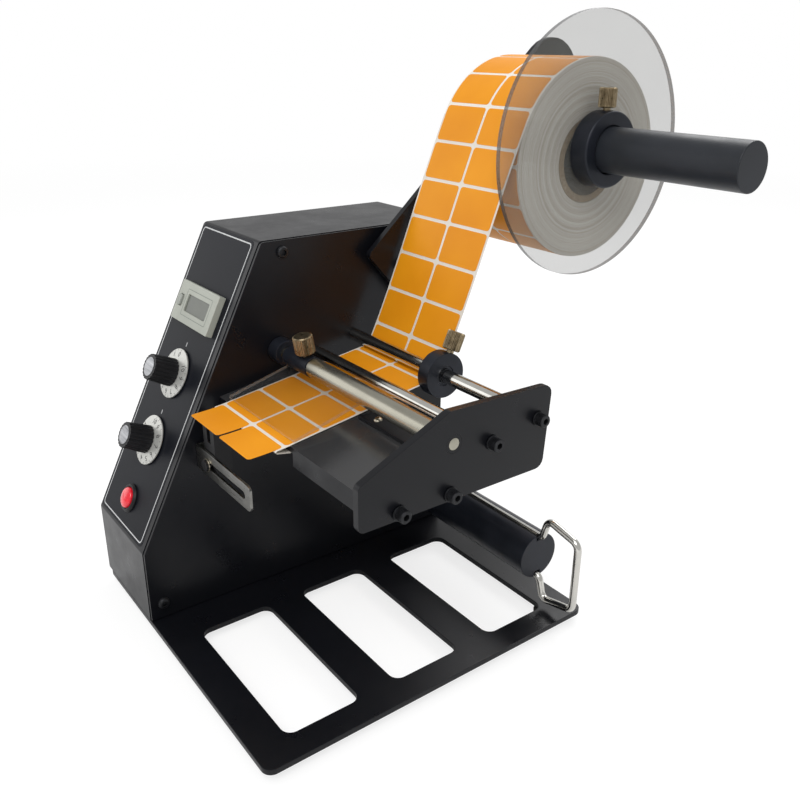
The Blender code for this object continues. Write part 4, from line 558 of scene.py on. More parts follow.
# Dials and knobs: a spun aluminium skirt with black figures turns with a fluted black knob, which
# has a brushed aluminium disc let into its end. The figures fall clockwise, to rise as it turns.
DIAL_RIM = 0.0018
DIAL_START = 0.0008
DIAL_SLOPE_RISE = 0.0012
DIAL_EDGE = 0.0003
KNOB_START = 0.0033
KNOB_LENGTH = 0.0145
KNOB_ROOT = 0.0086
KNOB_TIP = 0.0078
KNOB_FLUTES = 20
KNOB_FLUTE_DEPTH = 0.00055
KNOB_STEP = 0.0001
KNOB_CAP = 0.0057
FIGURES = 11
FIGURE_TURN = math.radians(30.0)
FIGURE_SIZE = 0.0044
FIGURE_RADIUS = 0.0116
TICK_LENGTH = 0.0013
TICK_WIDTH = 0.00022
TICK_INSETS = (0.75, 0.6)
LENGTH_READING_TURN = 0.0
SPEED_READING_TURN = math.radians(300.0)

spun_aluminium = clouded(
    "spun_aluminium",
    (188, 188, 183),
    (212, 212, 207),
    (0.34, 0.12),
    (700.0, 3.0, 0.6),
    None,
    0.000012,
    (0.25, 0.75),
    Metallic=0.55,
)
knob_plastic = clouded(
    "knob_plastic",
    (13, 13, 16),
    (20, 20, 23),
    (0.36, 0.16),
    (1300.0, 3.0),
    (1300.0, 3.0),
    0.00003,
    by_grain=True,
    Specular_IOR_Level=0.3,
)
streaks = (420.0, 3.0, 0.6, (0.08, 1.0, 1.0))
brushed_disc = clouded(
    "brushed_disc", (112, 113, 117), (182, 183, 186), (0.2, 0.16), streaks, None, 0.00001, Metallic=0.85
)
black_ink = clouded("black_ink", (26, 26, 27), (40, 40, 40), (0.55, 0.0), (900.0,), limits=None)


def figure(number, size):
    """A flat mesh of a number, centred, facing +Z."""
    words = bpy.data.curves.new("figure", "FONT")
    words.body, words.size, words.align_x, words.align_y = str(number), size, "CENTER", "CENTER"
    words.resolution_u = 3
    writer = bpy.data.objects.new("figure", words)
    bpy.context.scene.collection.objects.link(writer)
    flat = writer.to_mesh()
    form = bmesh.new()
    form.from_mesh(flat)
    writer.to_mesh_clear()
    bpy.data.objects.remove(writer)
    bpy.data.curves.remove(words)
    return form


def join(form, other, matrix=Matrix.Identity(4)):
    """Moves another form into a form, turned and moved by a matrix."""
    copy = bpy.data.meshes.new("copy")
    other.to_mesh(copy)
    other.free()
    copy.transform(matrix)
    form.from_mesh(copy)
    bpy.data.meshes.remove(copy)


def dial_face(radius):
    """The height of a dial's sloping face at a radius."""
    return DIAL_RIM + DIAL_SLOPE_RISE * (dial_radius - radius) / (dial_radius - KNOB_ROOT)


for control, reading_turn in (("length", LENGTH_READING_TURN), ("speed", SPEED_READING_TURN)):
    body = control + "_control"
    dial_across, dial_up, _ = on_panel(control + "_dial")
    dial_radius = extent(control + "_dial").x / 2
    dial_top = DIAL_RIM + DIAL_SLOPE_RISE
    rim = [(0, DIAL_START), (dial_radius, DIAL_START), (dial_radius, DIAL_RIM)]
    form = turned([*rim, (KNOB_ROOT, dial_top), (0, dial_top)], 96)
    ease(form, DIAL_EDGE)
    lay(form, dial_across, dial_up, 0)
    finish_piece(control + "_skirt", form, spun_aluminium, body, "dial_silver", control + "_dial")

    lean = Matrix.Rotation(-math.atan(DIAL_SLOPE_RISE / (dial_radius - KNOB_ROOT)), 4, "X")
    marks = bmesh.new()
    for step in range(2 * FIGURES - 1):
        turn = Matrix.Rotation(step * FIGURE_TURN / 2 - reading_turn, 4, "Z")
        if step % 2 == 0:
            number = figure(step // 2, FIGURE_SIZE)
            spot = Matrix.Translation((0, FIGURE_RADIUS, dial_face(FIGURE_RADIUS)))
            join(marks, number, turn @ spot @ lean)
        tick = cut_sheet([-TICK_WIDTH / 2, TICK_WIDTH / 2], [-TICK_LENGTH / 2, TICK_LENGTH / 2])
        tick_radius = dial_radius - TICK_LENGTH * TICK_INSETS[step % 2]
        join(marks, tick, turn @ Matrix.Translation((0, tick_radius, dial_face(tick_radius))) @ lean)
    raise_faces(marks, marks.faces[:], (0, 0, INK))
    lay(marks, dial_across, dial_up, INK / 2)
    finish_piece(control + "_figures", marks, black_ink, body, "black_plastic", weighted=False)

    knob_top = KNOB_START + KNOB_LENGTH
    form = bmesh.new()
    bmesh.ops.create_circle(form, cap_ends=True, radius=1.0, segments=6 * KNOB_FLUTES)
    for vertex in form.verts:
        swing = math.cos(math.atan2(vertex.co.y, vertex.co.x) * KNOB_FLUTES)
        vertex.co *= KNOB_ROOT - KNOB_FLUTE_DEPTH * (0.5 + 0.5 * swing) ** 2
    bmesh.ops.translate(form, verts=form.verts, vec=(0, 0, KNOB_START))
    tip = raise_faces(form, form.faces[:], (0, 0, KNOB_LENGTH))
    bmesh.ops.scale(form, vec=(KNOB_TIP / KNOB_ROOT, KNOB_TIP / KNOB_ROOT, 1), verts=tip)
    inner, low = KNOB_CAP + KNOB_STEP, knob_top - KNOB_STEP
    top = [(inner, knob_top + KNOB_STEP), (KNOB_CAP + 3 * KNOB_STEP, knob_top + KNOB_STEP)]
    rim = turned([(inner, low), *top, (KNOB_TIP - KNOB_FLUTE_DEPTH, low), (inner, low)], 96)
    join(form, rim)
    lay(form, dial_across, dial_up, 0)
    finish_piece(control + "_grip", form, knob_plastic, body, "black_plastic", control + "_knob")
    form = turned([(0, low), (KNOB_CAP, low), (KNOB_CAP, knob_top + 3 * KNOB_STEP), (0, knob_top + 4 * KNOB_STEP)])
    ease(form, KNOB_STEP)
    lay(form, dial_across, dial_up, 0)
    finish_piece(control + "_cap", form, brushed_disc, body, "dial_silver")


# Power lamp: a domed red lens, moulded with fine ribs inside. A black plastic bezel stands round it
# on the panel.
LAMP_EDGE = 0.0004
RING_PROUD = 0.0022
RING_SHOULDER = 0.45
RING_TOP = 0.9
RING_INSIDE = 0.7
LENS_STEP = 0.0005
LENS_LIFT = 0.0004
LENS_DOME = 0.0022
LENS_TURNS = (0.0, 0.25, 0.5, 0.75, 1.0, 1.25, 1.45)

shade, place = new_shade("red_lens")
lens_depth = shade.noise(place, 260.0, 3.0).between(0.3, 0.7)
red_lens = shade.surface(
    lens_depth.mix(tone(196, 12, 34), tone(238, 34, 52)),
    0.1 + 0.1 * lens_depth,
    Coat_Weight=0.5,
    Emission_Color=tone(230, 20, 40),
    Emission_Strength=0.12,
    Subsurface_Weight=0.2,
    Subsurface_Radius=(0.004, 0.001, 0.001),
)
lamp_across, lamp_up, _ = on_panel("lamp_bezel")
ring_radius, lens_radius = extent("lamp_bezel").x / 2, extent("lamp_lens").x / 2
bore = lens_radius + LENS_STEP / 2
shoulder = [(ring_radius, RING_PROUD * RING_SHOULDER), (ring_radius * RING_TOP, RING_PROUD)]
inside = [(lens_radius + LENS_STEP, RING_PROUD), (bore, RING_PROUD * RING_INSIDE), (bore, 0)]
form = turned([(bore, 0), (ring_radius, 0), *shoulder, *inside])
ease(form, LAMP_EDGE / 2)
lay(form, lamp_across, lamp_up, 0)
finish_piece("lamp_ring", form, knob_plastic, "machine", "black_plastic", "lamp_bezel")
dome = RING_PROUD + LENS_LIFT
rise = [(lens_radius * math.cos(turn), dome + LENS_DOME * math.sin(turn)) for turn in LENS_TURNS]
form = turned([(0, 0), (lens_radius, 0), *rise, (0, dome + LENS_DOME)], 72)
lay(form, lamp_across, lamp_up, 0)
finish_piece("lamp_dome", form, red_lens, "machine", "red_lens", "lamp_lens")


# Rear inlet: a moulded mains socket with three flat nickel-plated pins, in the box's rear. It shares
# one flange with a rocker switch.
PIN_HALF = 0.0028
PIN_THICKNESS = 0.0010
PIN_LENGTH = 0.0100
PIN_SPACING = 0.0070
PIN_DROP = 0.0042
SOCKET_REACH = 0.0170
SOCKET_RISE = 0.0145
FINE_EDGE = 0.0003

nickel_plate = clouded(
    "nickel_plate", (176, 168, 148), (204, 197, 180), (0.24, 0.14), (420.0, 4.0, 0.6), None, 0.000008, Metallic=1.0
)
dressed("power_inlet", knob_plastic, "machine", "black_plastic", FINE_EDGE)
dressed("power_rocker", knob_plastic, "power_switch", "black_plastic", FINE_EDGE)
inlet_low, inlet_high = corners("power_inlet")
socket_middle = Vector((centre("power_inlet").x, inlet_high.y - SOCKET_REACH, inlet_low.z + SOCKET_RISE))
form = bmesh.new()
for across, rise in ((-PIN_SPACING, -PIN_DROP / 2), (PIN_SPACING, -PIN_DROP / 2), (0, PIN_DROP / 2)):
    pin = cut_sheet([-PIN_THICKNESS, PIN_THICKNESS], [-PIN_HALF, PIN_HALF])
    raise_faces(pin, pin.faces[:], (0, 0, PIN_LENGTH))
    ease(pin, PIN_THICKNESS / 4)
    spot = Matrix.Translation(socket_middle + Vector((across, 0, rise)))
    join(form, pin, spot @ Matrix.Rotation(-math.pi / 2, 4, "X"))
finish_piece("inlet_pins", form, nickel_plate, "machine", "nickel")


# Works inside the box: a geared motor, two toothed-belt drives and the control board with its parts.
# They are hidden when the box is shut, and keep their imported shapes.
zinc_steel = clouded(
    "zinc_steel", (150, 151, 150), (188, 188, 185), (0.28, 0.2), (300.0, 4.0, 0.6), None, 0.000012, Metallic=1.0
)
shade, place = new_shade("green_board")
board_cloud = shade.noise(place, 220.0, 4.0).between(0.35, 0.65)
board_traces = shade.noise(place, 700.0, 0.0, 0.5, (1.0, 6.0, 1.0)).between(0.5, 0.52)
board_green = board_cloud.mix(tone(16, 74, 38), tone(22, 92, 48))
green_board = shade.surface(board_traces.mix(board_green, tone(34, 118, 62)), 0.35 + 0.2 * board_cloud)
belt_rubber = clouded(
    "belt_rubber", (16, 16, 16), (36, 36, 36), (0.75, 0.0), (1100.0, 3.0), None, 0.00005, limits=None
)
for node, material in (
    ("drive_motor", zinc_steel),
    ("motor_pulley", knob_plastic),
    ("drive_pulley", knob_plastic),
    ("take_up_pulley", knob_plastic),
    ("drive_belt", belt_rubber),
    ("take_up_belt", belt_rubber),
    ("control_board", green_board),
):
    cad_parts[node].material_slots[0].material = material


# Peel platform: a folded sheet with a front skirt, in a glossier black enamel that mirrors the bar.
# A low pointed guide strip is held on it by one small pan-head screw.
PEEL_Y = 0.0543
PEEL_Z = 0.1330
PLATFORM_SLOPE = math.radians(9.0)
GUIDE_HEIGHT = 0.002
PAN_RADIUS = 0.0024
PAN_HEIGHT = 0.0014
PAN_FLOOR = 0.35
PAN_SHOULDER = ((0.6, 0.92), (0.88, 0.6), (1.0, 0.2))
PAN_SLOT = 0.0009
PAN_ACROSS = 0.0965
PAN_ALONG = 0.0437

gloss_enamel = clouded(
    "gloss_enamel", (46, 46, 47), (54, 54, 55), (0.13, 0.08), (16.0, 3.0), (1100.0, 2.0), 0.000008
)
platform = dressed("peel_platform", gloss_enamel, "machine", "black_paint", FINE_EDGE)
platform.data.materials.append(satin_paint)
for face in platform.data.polygons:
    face.material_index = 0 if face.normal.z > 0.9 else 1
dressed("web_edge_guide", satin_paint, "machine", "black_paint", FINE_EDGE)
form = screw_head(PAN_SLOT, PAN_HEIGHT * PAN_FLOOR, PAN_RADIUS, PAN_HEIGHT, PAN_SHOULDER)
slope_sine, slope_cosine = math.sin(PLATFORM_SLOPE), math.cos(PLATFORM_SLOPE)
pan_y = PEEL_Y + PAN_ALONG * slope_cosine
pan_z = PEEL_Z + PAN_ALONG * slope_sine + GUIDE_HEIGHT / slope_cosine
aim(form, datum + Vector((PAN_ACROSS, pan_y, pan_z)), (0, -slope_sine, slope_cosine))
finish_piece("guide_pan_screw", form, nickel_plate, "machine", "nickel")


# Middle and rear rods: ground and hard-chromed steel, which the web runs under and the collar slides
# on. Cap screws through the outer plate hold their ends.
ROD_CHAMFER = 0.0004

chrome_lines = (1400.0, 1.0, 0.5, (1.0, 0.04, 0.04))
hard_chrome = clouded(
    "hard_chrome",
    (198, 197, 192),
    (214, 212, 206),
    (0.09, 0.07),
    (90.0, 4.0, 0.6),
    chrome_lines,
    0.000004,
    Metallic=1.0,
)


def start_of(node):
    """The middle of a node's left end, where a bar along X starts."""
    return Vector((corners(node)[0].x, *centre(node).yz))


def bar(name, node, material, slot, edge, body="machine"):
    """A round bar along X in a node's box."""
    length, _, width = extent(node)
    form = turned([(0, 0), (width / 2, 0), (width / 2, length), (0, length)])
    ease(form, edge)
    aim(form, start_of(node))
    finish_piece(name, form, material, body, slot, node)


bar("middle_rod_chromed", "middle_rod", hard_chrome, "chrome", ROD_CHAMFER)
bar("rear_rod_chromed", "rear_rod", hard_chrome, "chrome", ROD_CHAMFER)


# Front bar: a thicker bar with a fine satin nickel finish, stepped down where it goes into the box's
# boss and through the outer plate, where its end stands flush inside a black ring of painted shade.
FRONT_STEP = 0.0398
FRONT_END_RADIUS = 0.0043
FRONT_TIP_RADIUS = 0.0030
FRONT_GAP = 0.0003


def tube(bore, radius, length, steps=64):
    """A turned ring from z 0 up."""
    return turned([(bore, 0), (radius, 0), (radius, length), (bore, length), (bore, 0)], steps)


def stepped(radius, left, right, start, stop, length, steps=64):
    """A turned bar with a thinner end of its own radius before start and another after stop."""
    left_end = [(0, 0), (left, 0), (left, start), (radius, start)]
    return turned([*left_end, (radius, stop), (right, stop), (right, length), (0, length)], steps)


satin_nickel = clouded(
    "satin_nickel",
    (150, 147, 134),
    (178, 175, 162),
    (0.18, 0.12),
    (26.0, 4.0, 0.6, (0.4, 1.0, 1.0)),
    (1500.0, 3.0, 0.6, (1.0, 0.08, 0.08)),
    0.000007,
    Metallic=1.0,
)
bar_low, bar_high = corners("front_bar")
bar_radius = (bar_high.z - bar_low.z) / 2
bar_start = datum.x + FRONT_STEP - bar_low.x
bar_stop = corners("outer_plate")[0].x - FRONT_GAP - bar_low.x
bar_length = bar_high.x - bar_low.x
form = stepped(bar_radius, FRONT_END_RADIUS, FRONT_TIP_RADIUS, bar_start, bar_stop, bar_length, 96)
ease(form, ROD_CHAMFER / 2)
aim(form, start_of("front_bar"))
finish_piece("front_bar_satin", form, satin_nickel, "machine", "chrome", "front_bar")
# A black ring flush with the plate fills round the thinner end, painted shade round the bar's bright end.
shade_ring_length = bar_length - bar_stop - ROD_CHAMFER
form = tube(FRONT_TIP_RADIUS + ROD_CHAMFER / 4, FRONT_END_RADIUS + ROD_CHAMFER / 2, shade_ring_length)
aim(form, Vector((bar_high.x - ROD_CHAMFER / 8 - shade_ring_length, *centre("front_bar").yz)))
finish_piece("front_bar_shade_ring", form, satin_paint, "machine", "black_paint")


# Boss and cover hub: turned aluminium, black anodised. The boss carries the bar's box end, and the hub
# turns on the bar and is glued to the clear cover.
TURNED_EDGE = 0.0007

black_anodised = clouded(
    "black_anodised",
    (27, 30, 37),
    (37, 40, 48),
    (0.28, 0.12),
    (60.0, 3.0),
    (1200.0, 2.0, 0.5, (1.0, 0.15, 0.15)),
    0.00001,
    Metallic=0.3,
    Specular_IOR_Level=0.3,
)
bar("bar_boss_turned", "bar_boss", black_anodised, "black_anodised", TURNED_EDGE)
bar("cover_hub_turned", "cover_hub", black_anodised, "black_anodised", TURNED_EDGE / 2, "cover")


# Thumbscrews: nickel-plated brass, straight knurled, with a brushed end and a short neck. One locks the
# cover's hub, one the guide collar and one the roll's hub.
THUMB_KNURLS = 34
THUMB_KNURL_DEPTH = 0.00034
THUMB_EDGE = 0.0006
THUMB_LENGTH = 0.0105
THUMB_NECK = 0.0021
THUMB_NECK_LENGTH = 0.0016
THUMB_ROOT = 0.001
THUMB_SEAT = 0.0002
COVER_THUMB_FOOT = 0.0058
COVER_THUMB_RADIUS = 0.0057
THUMB_RADIUS = 0.0050
COVER_THUMB_TILT = math.radians(-10.0)
GUIDE_THUMB_TILT = math.radians(24.0)

thumb_nickel = clouded(
    "thumb_nickel", (126, 112, 88), (166, 150, 122), (0.24, 0.16), (350.0, 4.0, 0.6), None, 0.00001, Metallic=1.0
)


def thumbscrew(node, foot, direction, radius, body):
    """A knurled head on a neck that stands out of a round piece, from foot along direction."""
    neck, top = THUMB_NECK_LENGTH, THUMB_NECK_LENGTH + THUMB_EDGE
    form = bmesh.new()
    bmesh.ops.create_circle(form, cap_ends=True, radius=radius, segments=4 * THUMB_KNURLS)
    for vertex in form.verts:
        if math.atan2(vertex.co.y, vertex.co.x) * THUMB_KNURLS / math.pi % 2 < 1:
            vertex.co *= 1 - THUMB_KNURL_DEPTH / radius
    bmesh.ops.translate(form, verts=form.verts, vec=(0, 0, top))
    low = max(form.faces, key=lambda face: face.calc_area())
    raise_faces(form, [low], (0, 0, THUMB_LENGTH - 2 * THUMB_EDGE))
    for face in [face for face in form.faces if len(face.verts) > 4]:
        outward = THUMB_EDGE if face.calc_center_median().z > neck + THUMB_LENGTH / 2 else -THUMB_EDGE
        edge = raise_faces(form, [face], (0, 0, outward))
        share = 1 - THUMB_EDGE / radius
        bmesh.ops.scale(form, vec=(share, share, 1), verts=edge)
    stem = turned([(0, -THUMB_ROOT), (THUMB_NECK, -THUMB_ROOT), (THUMB_NECK, top), (0, top)], 32)
    join(form, stem)
    aim(form, foot, direction)
    finish_piece(node + "_knurled", form, thumb_nickel, body, "nickel", node)


collar_radius, hub_radius = extent("guide_collar").z / 2, extent("hub_collar").z / 2
for name, holder, tilt, foot_radius, radius in (
    ("cover", "front_bar", COVER_THUMB_TILT, COVER_THUMB_FOOT, COVER_THUMB_RADIUS),
    ("guide", "guide_collar", GUIDE_THUMB_TILT, collar_radius - THUMB_SEAT, THUMB_RADIUS),
    ("hub", "hub_collar", 0.0, hub_radius - THUMB_SEAT, THUMB_RADIUS),
):
    screw = name + "_thumbscrew"
    out = Vector((0, math.sin(tilt), math.cos(tilt)))
    axis = Vector((centre(screw).x, *centre(holder).yz))
    thumbscrew(screw, axis + foot_radius * out, out, radius, name + "_lock")


# Guide collar: a thick black anodised ring with a shallow recess round its bore. It slides on the rear
# rod and keeps the web's right edge.
RECESS_RADIUS = 0.0056
RECESS_DEPTH = 0.0007
COLLAR_PLAY = 0.0001

rod_radius = extent("rear_rod").z / 2
collar_length, bore = extent("guide_collar").x, rod_radius + COLLAR_PLAY
recess_floor = collar_length - RECESS_DEPTH
outside = [(bore, 0), (collar_radius, 0), (collar_radius, collar_length), (RECESS_RADIUS, collar_length)]
form = turned([*outside, (RECESS_RADIUS, recess_floor), (bore, recess_floor), (bore, 0)], 96)
ease(form, TURNED_EDGE)
aim(form, start_of("guide_collar"))
finish_piece("guide_collar_turned", form, black_anodised, "web_guide", "black_anodised", "guide_collar")


# Outer plate: a thick cut plate with eased edges that holds the platform's, rods' and bar's outer
# ends. Four cap screws with washers go through it.
SHEET_EDGE = 0.0005
SCREW_STANDOFF = 0.0003

dressed("outer_plate", satin_paint, "machine", "black_paint", SHEET_EDGE)
for screw in ("plate_screw_rear", "plate_screw_middle", "plate_screw_low_rear", "plate_screw_low_front"):
    spot = centre(screw)
    spot.x = corners("outer_plate")[1].x + SCREW_STANDOFF
    cap_screw(screw, spot)


# Label sensor: a black moulded fork with an indicator, on a bright slotted bracket whose foot is
# screwed to the box. One small screw lets it slide along the slot.
BRACKET_EDGE = 0.0002
SENSOR_SCREW = 0.0037
SENSOR_SCREW_HEIGHT = 0.0020
SENSOR_SCREW_X = 0.0150
SENSOR_SCREW_Z = 0.1005
SENSOR_FLOOR = 0.4
SENSOR_SHOULDER = ((0.62, 0.9), (0.66, 0.3), (1.0, 0.3))

brushed_steel = clouded(
    "brushed_steel",
    (112, 112, 110),
    (146, 145, 141),
    (0.2, 0.2),
    (70.0, 3.0),
    (1300.0, 3.0, 0.6, (0.05, 1.0, 1.0)),
    0.00001,
    by_grain=True,
    Metallic=1.0,
)
dressed("sensor_bracket", brushed_steel, "machine", "steel", BRACKET_EDGE)
dressed("label_sensor", knob_plastic, "sensor", "black_plastic", BRACKET_EDGE)
socket, floor = SENSOR_SCREW / 3, SENSOR_SCREW_HEIGHT * SENSOR_FLOOR
form = screw_head(socket, floor, SENSOR_SCREW, SENSOR_SCREW_HEIGHT, SENSOR_SHOULDER)
spot = Vector((datum.x + SENSOR_SCREW_X, corners("label_sensor")[0].y, datum.z + SENSOR_SCREW_Z))
aim(form, spot, (0, -1, 0))
bmesh.ops.translate(form, verts=form.verts, vec=(0, SENSOR_SCREW_HEIGHT, 0))
finish_piece("sensor_screw_head", form, nickel_plate, "sensor", "nickel")


# Feed and pinch rollers: a rubber-covered roller and a ground steel one under the platform, whose nip
# draws the bare liner down.
FEED_LEFT = 0.008
FEED_RIGHT = 0.084
FEED_SHAFT = 0.0030

feed_low = corners("feed_roller")[0]
feed_length, _, feed_width = extent("feed_roller")
feed_radius = feed_width / 2
feed_start, feed_stop = (datum.x + side - feed_low.x for side in (FEED_LEFT, FEED_RIGHT))
form = stepped(feed_radius, FEED_SHAFT, FEED_SHAFT, feed_start, feed_stop, feed_length)
ease(form, ROD_CHAMFER)
aim(form, start_of("feed_roller"))
finish_piece("feed_roller_rubber", form, moulded_rubber, "feed_drive", "rubber", "feed_roller")
dressed("pinch_roller", zinc_steel, "pinch", "steel")


# Take-up spindle: black anodised bar with a groove milled along its top and bottom, into which the
# legs of a bright bent-wire clip slide to hold the liner's end.
TAKE_UP_START = 0.0060
TAKE_UP_RADIUS = 0.0146
GROOVE_HALF = 0.0024
GROOVE_FLOOR = 0.0110
SPINDLE_EDGE = 0.0004
WIRE_RADIUS = 0.00225
WIRE_LEG = 0.01355
WIRE_START = 0.0057
WIRE_ROUTE = ((0.121, 0.01355, 0.0034), (0.125, 0.0277, 0.0050), (0.149, 0.0225, 0.0050))
WIRE_STEPS = 8


def slice_form(form, spot, normal, **rest):
    """Cuts a form along a plane."""
    parts = form.verts[:] + form.edges[:] + form.faces[:]
    bmesh.ops.bisect_plane(form, geom=parts, dist=1e-7, plane_co=spot, plane_no=normal, **rest)


take_up_axis = centre("take_up_spindle")
take_up_start = datum.x + TAKE_UP_START
form = bmesh.new()
bmesh.ops.create_circle(form, cap_ends=True, radius=TAKE_UP_RADIUS, segments=128)
for x, y in ((GROOVE_HALF, 0), (-GROOVE_HALF, 0), (0, GROOVE_FLOOR), (0, -GROOVE_FLOOR)):
    slice_form(form, (x, y, 0), Vector((x, y, 0)).normalized())
grooves = []
for face in form.faces:
    x, y, _ = face.calc_center_median()
    if abs(x) < GROOVE_HALF and abs(y) > GROOVE_FLOOR:
        grooves.append(face)
bmesh.ops.delete(form, geom=grooves, context="FACES")
bmesh.ops.dissolve_faces(form, faces=form.faces[:])
raise_faces(form, form.faces[:], (0, 0, corners("take_up_spindle")[1].x - take_up_start))
ease(form, SPINDLE_EDGE)
bmesh.ops.rotate(form, matrix=Matrix.Rotation(math.pi / 2, 3, "Z"), verts=form.verts)
aim(form, Vector((take_up_start, *take_up_axis.yz)))
finish_piece("take_up_bar", form, black_anodised, "take_up", "black_anodised", "take_up_spindle")


def bezier(points, share):
    """The spot at a share of the way along a Bezier curve."""
    while len(points) > 1:
        points = [before.lerp(after, share) for before, after in zip(points, points[1:])]
    return points[0]


def bent(route, steps):
    """The points of a wire's middle line through a route of (point, cut back), its corners rounded."""
    points = [route[0][0]]
    for (before, _), (corner, cut), (after, _) in zip(route, route[1:], route[2:]):
        start = corner + (before - corner).normalized() * cut
        stop = corner + (after - corner).normalized() * cut
        points += [bezier([start, corner, stop], step / steps) for step in range(steps + 1)]
    return points + [route[-1][0]]


half = [(Vector((WIRE_START, 0, WIRE_LEG)), 0.0)] + [(Vector((x, 0, z)), cut) for x, z, cut in WIRE_ROUTE]
whole = half + [(Vector((point.x, 0, -point.z)), cut) for point, cut in reversed(half)]
wire = bpy.data.curves.new("clip_line", "CURVE")
wire.dimensions, wire.bevel_depth = "3D", WIRE_RADIUS
wire.bevel_resolution, wire.use_fill_caps = 6, True
line = wire.splines.new("POLY")
route = [Vector((datum.x, *take_up_axis.yz)) + point for point in bent(whole, WIRE_STEPS)]
line.points.add(len(route) - 1)
for point, spot in zip(line.points, route):
    point.co = (*spot, 1)
bender = bpy.data.objects.new("clip_line", wire)
bpy.context.scene.collection.objects.link(bender)
form = bmesh.new()
form.from_mesh(bender.to_mesh())
bender.to_mesh_clear()
bpy.data.objects.remove(bender)
finish_piece("take_up_wire", form, hard_chrome, "clip", "chrome", "take_up_clip", weighted=False)


# Roll arm: a flat cut bar, black like the box and screwed to its side, that holds the roll spindle
# out. The spindle is a plain turned bar in dark satin grey.
STUD_EDGE = 0.0002
SPINDLE_END_EDGE = 0.0006
SPINDLE_GAP = 0.0003

dressed("roll_arm", satin_paint, "machine", "black_paint", SHEET_EDGE)
for stud in ("arm_stud_low", "arm_stud_high"):
    dressed(stud, blackened_steel, "machine", "black_screw", STUD_EDGE)

grey_acetal = clouded(
    "grey_acetal",
    (30, 33, 38),
    (38, 41, 47),
    (0.34, 0.14),
    (40.0, 4.0, 0.6),
    (1100.0, 2.0, 0.5, (0.12, 1.0, 1.0)),
    0.000015,
    Specular_IOR_Level=0.35,
)
spindle_radius = extent("roll_spindle").z / 2
spindle_start = corners("roll_arm")[1].x + SPINDLE_GAP
spindle_length = corners("roll_spindle")[1].x - spindle_start
form = turned([(0, 0), (spindle_radius, 0), (spindle_radius, spindle_length), (0, spindle_length)], 128)
ease(form, SPINDLE_END_EDGE, 3)
aim(form, Vector((spindle_start, *centre("roll_spindle").yz)))
finish_piece("roll_spindle_turned", form, grey_acetal, "machine", "grey_plastic", "roll_spindle")


# Roll guide: a clear acrylic disc keeps the roll's side, and a black anodised hub with a thumbscrew
# holds it on the spindle.
DISC_EDGE = 0.0002
HUB_EDGE = 0.0012
DISC_PLAY = 0.0003
HUB_PLAY = 0.0002

clear = {}
for name, dark, light, cover in (
    ("disc_acrylic", (120, 120, 116), (136, 136, 131), 0.26),
    ("cover_acrylic", (62, 62, 60), (74, 74, 72), 0.1),
):
    clear[name] = clouded(name, dark, light, (0.03, 0.05), (45.0, 4.0, 0.6), limits=(0.35, 0.8), Alpha=cover)
disc_length, _, disc_width = extent("clear_disc")
form = tube(spindle_radius + DISC_PLAY, disc_width / 2, disc_length, 160)
ease(form, DISC_EDGE)
aim(form, start_of("clear_disc"))
disc_piece = finish_piece("clear_disc_turned", form, clear["disc_acrylic"], "roll_guide", "clear_acrylic", "clear_disc")
form = tube(spindle_radius + HUB_PLAY, hub_radius, extent("hub_collar").x, 96)
ease(form, HUB_EDGE, 3)
aim(form, start_of("hub_collar"))
finish_piece("hub_collar_turned", form, black_anodised, "roll_guide", "black_anodised", "hub_collar")


# Label roll: the wound paper web, whose side shows its turns, on a core of rolled board. The core
# turns on the spindle.
CORE_BORE = 0.0200
CORE_RADIUS = 0.0240
WEB_RISE = 0.0005
ROLL_EDGE = 0.0002

supply = centre("label_roll")
shade, place = new_shade("wound_paper")
swung = shade.node("Mapping", {}, {"Vector": place, "Location": (0, -supply.y, -supply.z)})
swung = swung.node("Mapping", {}, {"Vector": swung, "Scale": (0, 1, 1)})
wound_radius = swung.node("VectorMath", {"operation": "LENGTH"}, {0: swung}, 1)
coarse = shade.node("TexNoise", {"noise_dimensions": "1D"}, {"W": wound_radius, "Scale": 420.0, "Detail": 1.0})
fine = shade.node("TexNoise", {"noise_dimensions": "1D"}, {"W": wound_radius, "Scale": 1700.0, "Detail": 1.0})
turns = 0.45 * coarse.between(0.3, 0.7) + 0.55 * fine.between(0.3, 0.7)
wound_cloud = shade.noise(place, 30.0, 3.0).between(0.3, 0.7)
paper = turns.mix(wound_cloud.mix(tone(196, 187, 171), tone(208, 199, 184)), tone(249, 246, 239))
wound_paper = shade.surface(paper, 0.6 + 0.2 * turns, turns, 0.00004)
fibre = (500.0, 4.0, 0.6, (0.3, 1.0, 1.0))
core_board = clouded("core_board", (150, 128, 98), (182, 160, 128), (0.75, 0.0), fibre, fibre, 0.00006)
web_left = corners("label_roll")[0].x
web_width, _, roll_width = extent("label_roll")
wound = roll_width / 2 + WEB_RISE
for name, inner, outer, material, slot, node in (
    ("roll_core_board", CORE_BORE, CORE_RADIUS, core_board, "board_paper", "roll_core"),
    ("roll_wound", CORE_RADIUS + ROLL_EDGE, wound, wound_paper, "orange_label", "label_roll"),
):
    form = tube(inner, outer, web_width, 180)
    ease(form, ROLL_EDGE)
    aim(form, Vector((web_left, *supply.yz)))
    finish_piece(name, form, material, "label_supply", slot, node)


